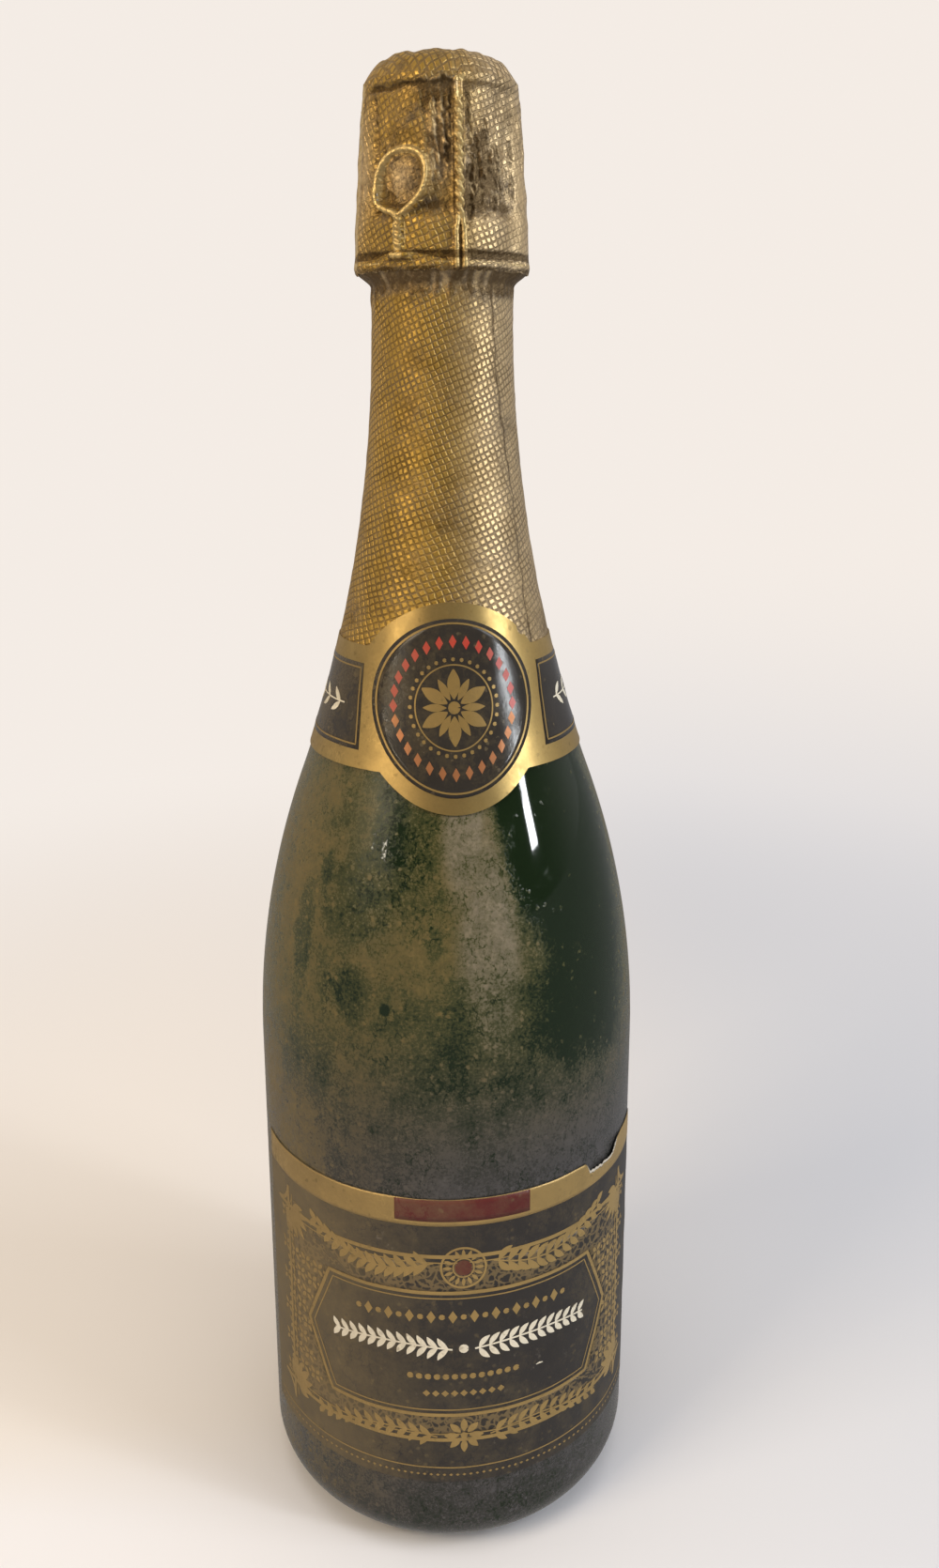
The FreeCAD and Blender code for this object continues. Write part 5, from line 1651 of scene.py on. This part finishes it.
# Studio
# A pale sweep of paper under soft light: warm from the left, cooler from the right, with the
# bottle seen from a little above, as on a table. Lengths here are metres.
CAMERA_AZIMUTH = math.radians(-4.2)
CAMERA_DISTANCE = 0.29043
CAMERA_HEIGHT = 0.26578
CAMERA_PITCH = 0.24616
CAMERA_YAW = 0.019324
CAMERA_ROLL = -0.002028
SENSOR_MM = 36.0
FOCAL_PIXELS = 1400.0
IMAGE_HIGH = 1670.0
AXIS_ROW = 747.46
# Backdrop whites: the seen backdrop turns from warm white to a darker cool white to the right and low down,
# painted light for the warm and cool lamps.
WARM_WHITE = (0.905, 0.84, 0.785, 1.0)
COOL_WHITE = (0.69, 0.68, 0.705, 1.0)
# Floor paper colours: warm at the left and back, neutral in front, cooler and darker to the right; the
# changes are painted light for the warm lamp on the left and the cool one on the right.
FLOOR_WARM = (0.86, 0.81, 0.765, 1.0)
FLOOR_NEAR = (0.85, 0.835, 0.85, 1.0)
FLOOR_COOL = (0.66, 0.675, 0.72, 1.0)
SWEEP_FRONT = (0.0, -0.3, 0.27)
SEEN_SIDEWAYS = (-0.08, 0.22)
SEEN_DOWN = (-0.12, -0.45)
MIRRORED_SIDEWAYS = (-0.15, 0.4)
MIRRORED_DOWN = (0.42, -0.12)
LAMP_AIM = (0.0, 0.0, 0.17)
# Name, place, width, height, watts and colour of each lamp, and whether shiny pieces mirror it
LAMPS = (
    ("warm_wash", (-0.83, -0.53, 0.88), 0.5, 0.5, 6.6, (1.0, 0.82, 0.58), True),
    ("cool_wash", (0.87, -0.46, 0.88), 0.5, 0.5, 5.2, (0.9, 0.94, 1.0), True),
    ("ceiling", (0.0, -0.2, 1.3), 0.9, 0.9, 5.0, (1.0, 0.97, 0.94), False),
    ("window", (0.86, -0.5, 0.375), 0.1, 0.13, 2.6, (0.93, 0.97, 1.0), True),
    ("door", (-0.84, -0.54, 0.385), 0.05, 0.075, 0.55, (1.0, 0.86, 0.62), True),
    ("far_door", (-0.74, -0.68, 0.37), 0.05, 0.07, 0.25, (1.0, 0.9, 0.72), True),
)

scene = bpy.context.scene
scene.view_settings.view_transform = "Standard"
camera = bpy.data.objects.new("camera", bpy.data.cameras.new("camera"))
scene.collection.objects.link(camera)
scene.camera = camera
camera.data.sensor_width = SENSOR_MM
camera.data.lens = SENSOR_MM * FOCAL_PIXELS / IMAGE_HIGH
camera.data.shift_y = (AXIS_ROW - IMAGE_HIGH / 2) / IMAGE_HIGH
camera.data.clip_start = 0.01
level = np.array([math.sin(CAMERA_YAW), math.cos(CAMERA_YAW), 0.0])
forward = math.cos(CAMERA_PITCH) * level - math.sin(CAMERA_PITCH) * UPWARD
lens_right = np.array([math.cos(CAMERA_YAW), -math.sin(CAMERA_YAW), 0.0])
lens_up = np.cross(lens_right, forward)
picture_right = math.cos(CAMERA_ROLL) * lens_right + math.sin(CAMERA_ROLL) * lens_up
picture_up = -math.sin(CAMERA_ROLL) * lens_right + math.cos(CAMERA_ROLL) * lens_up


def posed(right, up, back, place):
    """Matrix of a camera or lamp from its three directions and its place."""
    pose = np.eye(4)
    pose[:3] = np.stack([right, up, back, place], -1)
    return Matrix(pose.tolist())


stand = posed(picture_right, picture_up, -forward, (0.0, -CAMERA_DISTANCE, CAMERA_HEIGHT))
camera.matrix_world = Matrix.Rotation(CAMERA_AZIMUTH, 4, "Z") @ stand


def studio_white(tree, direction, sideways, down):
    """Backdrop colour by direction: warm, turning cool over a stretch to the right and downwards."""
    along = shade(tree, "SeparateXYZ", {0: direction}).outputs
    cool = reckon(tree, "MULTIPLY", eased(tree, along["X"], *sideways), eased(tree, along["Z"], *down))
    return mixed(tree, cool, WARM_WHITE, COOL_WHITE)


world = bpy.data.worlds.new("studio")
scene.world = world
world.use_nodes = True
tree = world.node_tree
tree.nodes.clear()
direction = shade(tree, "TexCoord").outputs["Generated"]
ray = shade(tree, "LightPath").outputs
backdrop = studio_white(tree, direction, MIRRORED_SIDEWAYS, MIRRORED_DOWN)
# Painted light: the backdrop as the camera sees it, warm on the left and darker, cooler to the right and low
# down.
seen_backdrop = studio_white(tree, direction, SEEN_SIDEWAYS, SEEN_DOWN)
behind = eased(tree, shade(tree, "SeparateXYZ", {0: direction}).outputs["Y"], -0.5, 0.4)
mirrored = shade(tree, "Background", {0: backdrop, 1: between(tree, behind, 0.08, 0.6)}).outputs[0]
lighting = shade(tree, "Background", {0: backdrop, 1: 0.42}).outputs[0]
seen = shade(tree, "Background", {0: seen_backdrop, 1: 1.0}).outputs[0]
through = reckon(tree, "MAXIMUM", ray["Is Glossy Ray"], ray["Is Transmission Ray"])
lit = shade(tree, "MixShader", {0: through, 1: lighting, 2: mirrored}).outputs[0]
whole = shade(tree, "MixShader", {0: ray["Is Camera Ray"], 1: lit, 2: seen}).outputs[0]
shade(tree, "OutputWorld", {"Surface": whole})

turn = np.linspace(0, 2 * math.pi, 65)
spread = np.concatenate([np.linspace(0, 0.4, 9), np.geomspace(0.5, 40.0, 14)])[:, None] * 1000.0
ground = np.stack(np.broadcast_arrays(spread * np.cos(turn), spread * np.sin(turn), 0 * spread), -1)
floor = piece("floor_sweep", [ground], closed=False)
floor_material, tree, place = new_material("floor paper")
sight = shade(tree, "VectorMath", {0: place, 1: SWEEP_FRONT}, operation="SUBTRACT").outputs[0]
sight = shade(tree, "VectorMath", {0: sight}, operation="NORMALIZE").outputs[0]
distance = shade(tree, "VectorMath", {0: place}, operation="LENGTH").outputs["Value"]
ray = shade(tree, "LightPath").outputs
spot = shade(tree, "SeparateXYZ", {0: place}).outputs
# Painted light on the floor: warm to the left and back, neutral in front, cool and darker to the right.
warm_paper = mixed(tree, eased(tree, spot["Y"], 0.01, -0.03), FLOOR_WARM, FLOOR_NEAR)
paper_with_painted_light = mixed(tree, eased(tree, spot["X"], -0.12, 0.2), warm_paper, FLOOR_COOL)
paper = shade(tree, "BsdfDiffuse", {0: paper_with_painted_light}).outputs[0]
seen_sweep = studio_white(tree, sight, SEEN_SIDEWAYS, SEEN_DOWN)
mirrored_sweep = studio_white(tree, sight, MIRRORED_SIDEWAYS, MIRRORED_DOWN)
# Painted light: away from the bottle the floor glows in the backdrop's warm and cool whites for camera and
# transmission rays, and glows at 0.4 in reflections for the lit paper.
glow = shade(tree, "Emission", {0: seen_sweep, 1: 1.0}).outputs[0]
mirrored = shade(tree, "Emission", {0: mirrored_sweep, 1: 0.4}).outputs[0]
looked = reckon(tree, "MAXIMUM", ray["Is Camera Ray"], ray["Is Transmission Ray"])
far = reckon(tree, "MULTIPLY", eased(tree, distance, 0.12, 0.6), looked)
lit = shade(tree, "MixShader", {0: far, 1: paper, 2: glow}).outputs[0]
whole = shade(tree, "MixShader", {0: ray["Is Glossy Ray"], 1: lit, 2: mirrored}).outputs[0]
shade(tree, "OutputMaterial", {"Surface": whole})
floor.data.materials.append(floor_material)

for name, place, wide, high, watts, colour, shiny in LAMPS:
    lamp = bpy.data.objects.new(name, bpy.data.lights.new(name, "AREA"))
    scene.collection.objects.link(lamp)
    lamp.data.shape = "RECTANGLE"
    lamp.data.size = wide
    lamp.data.size_y = high
    lamp.data.energy = watts
    lamp.data.color = colour
    lamp.visible_glossy = shiny
    back = np.array(place) - np.array(LAMP_AIM)
    back = back / np.linalg.norm(back)
    side = np.cross(UPWARD, back)
    side = side / np.linalg.norm(side)
    lamp.matrix_world = posed(side, np.cross(back, side), back, place)
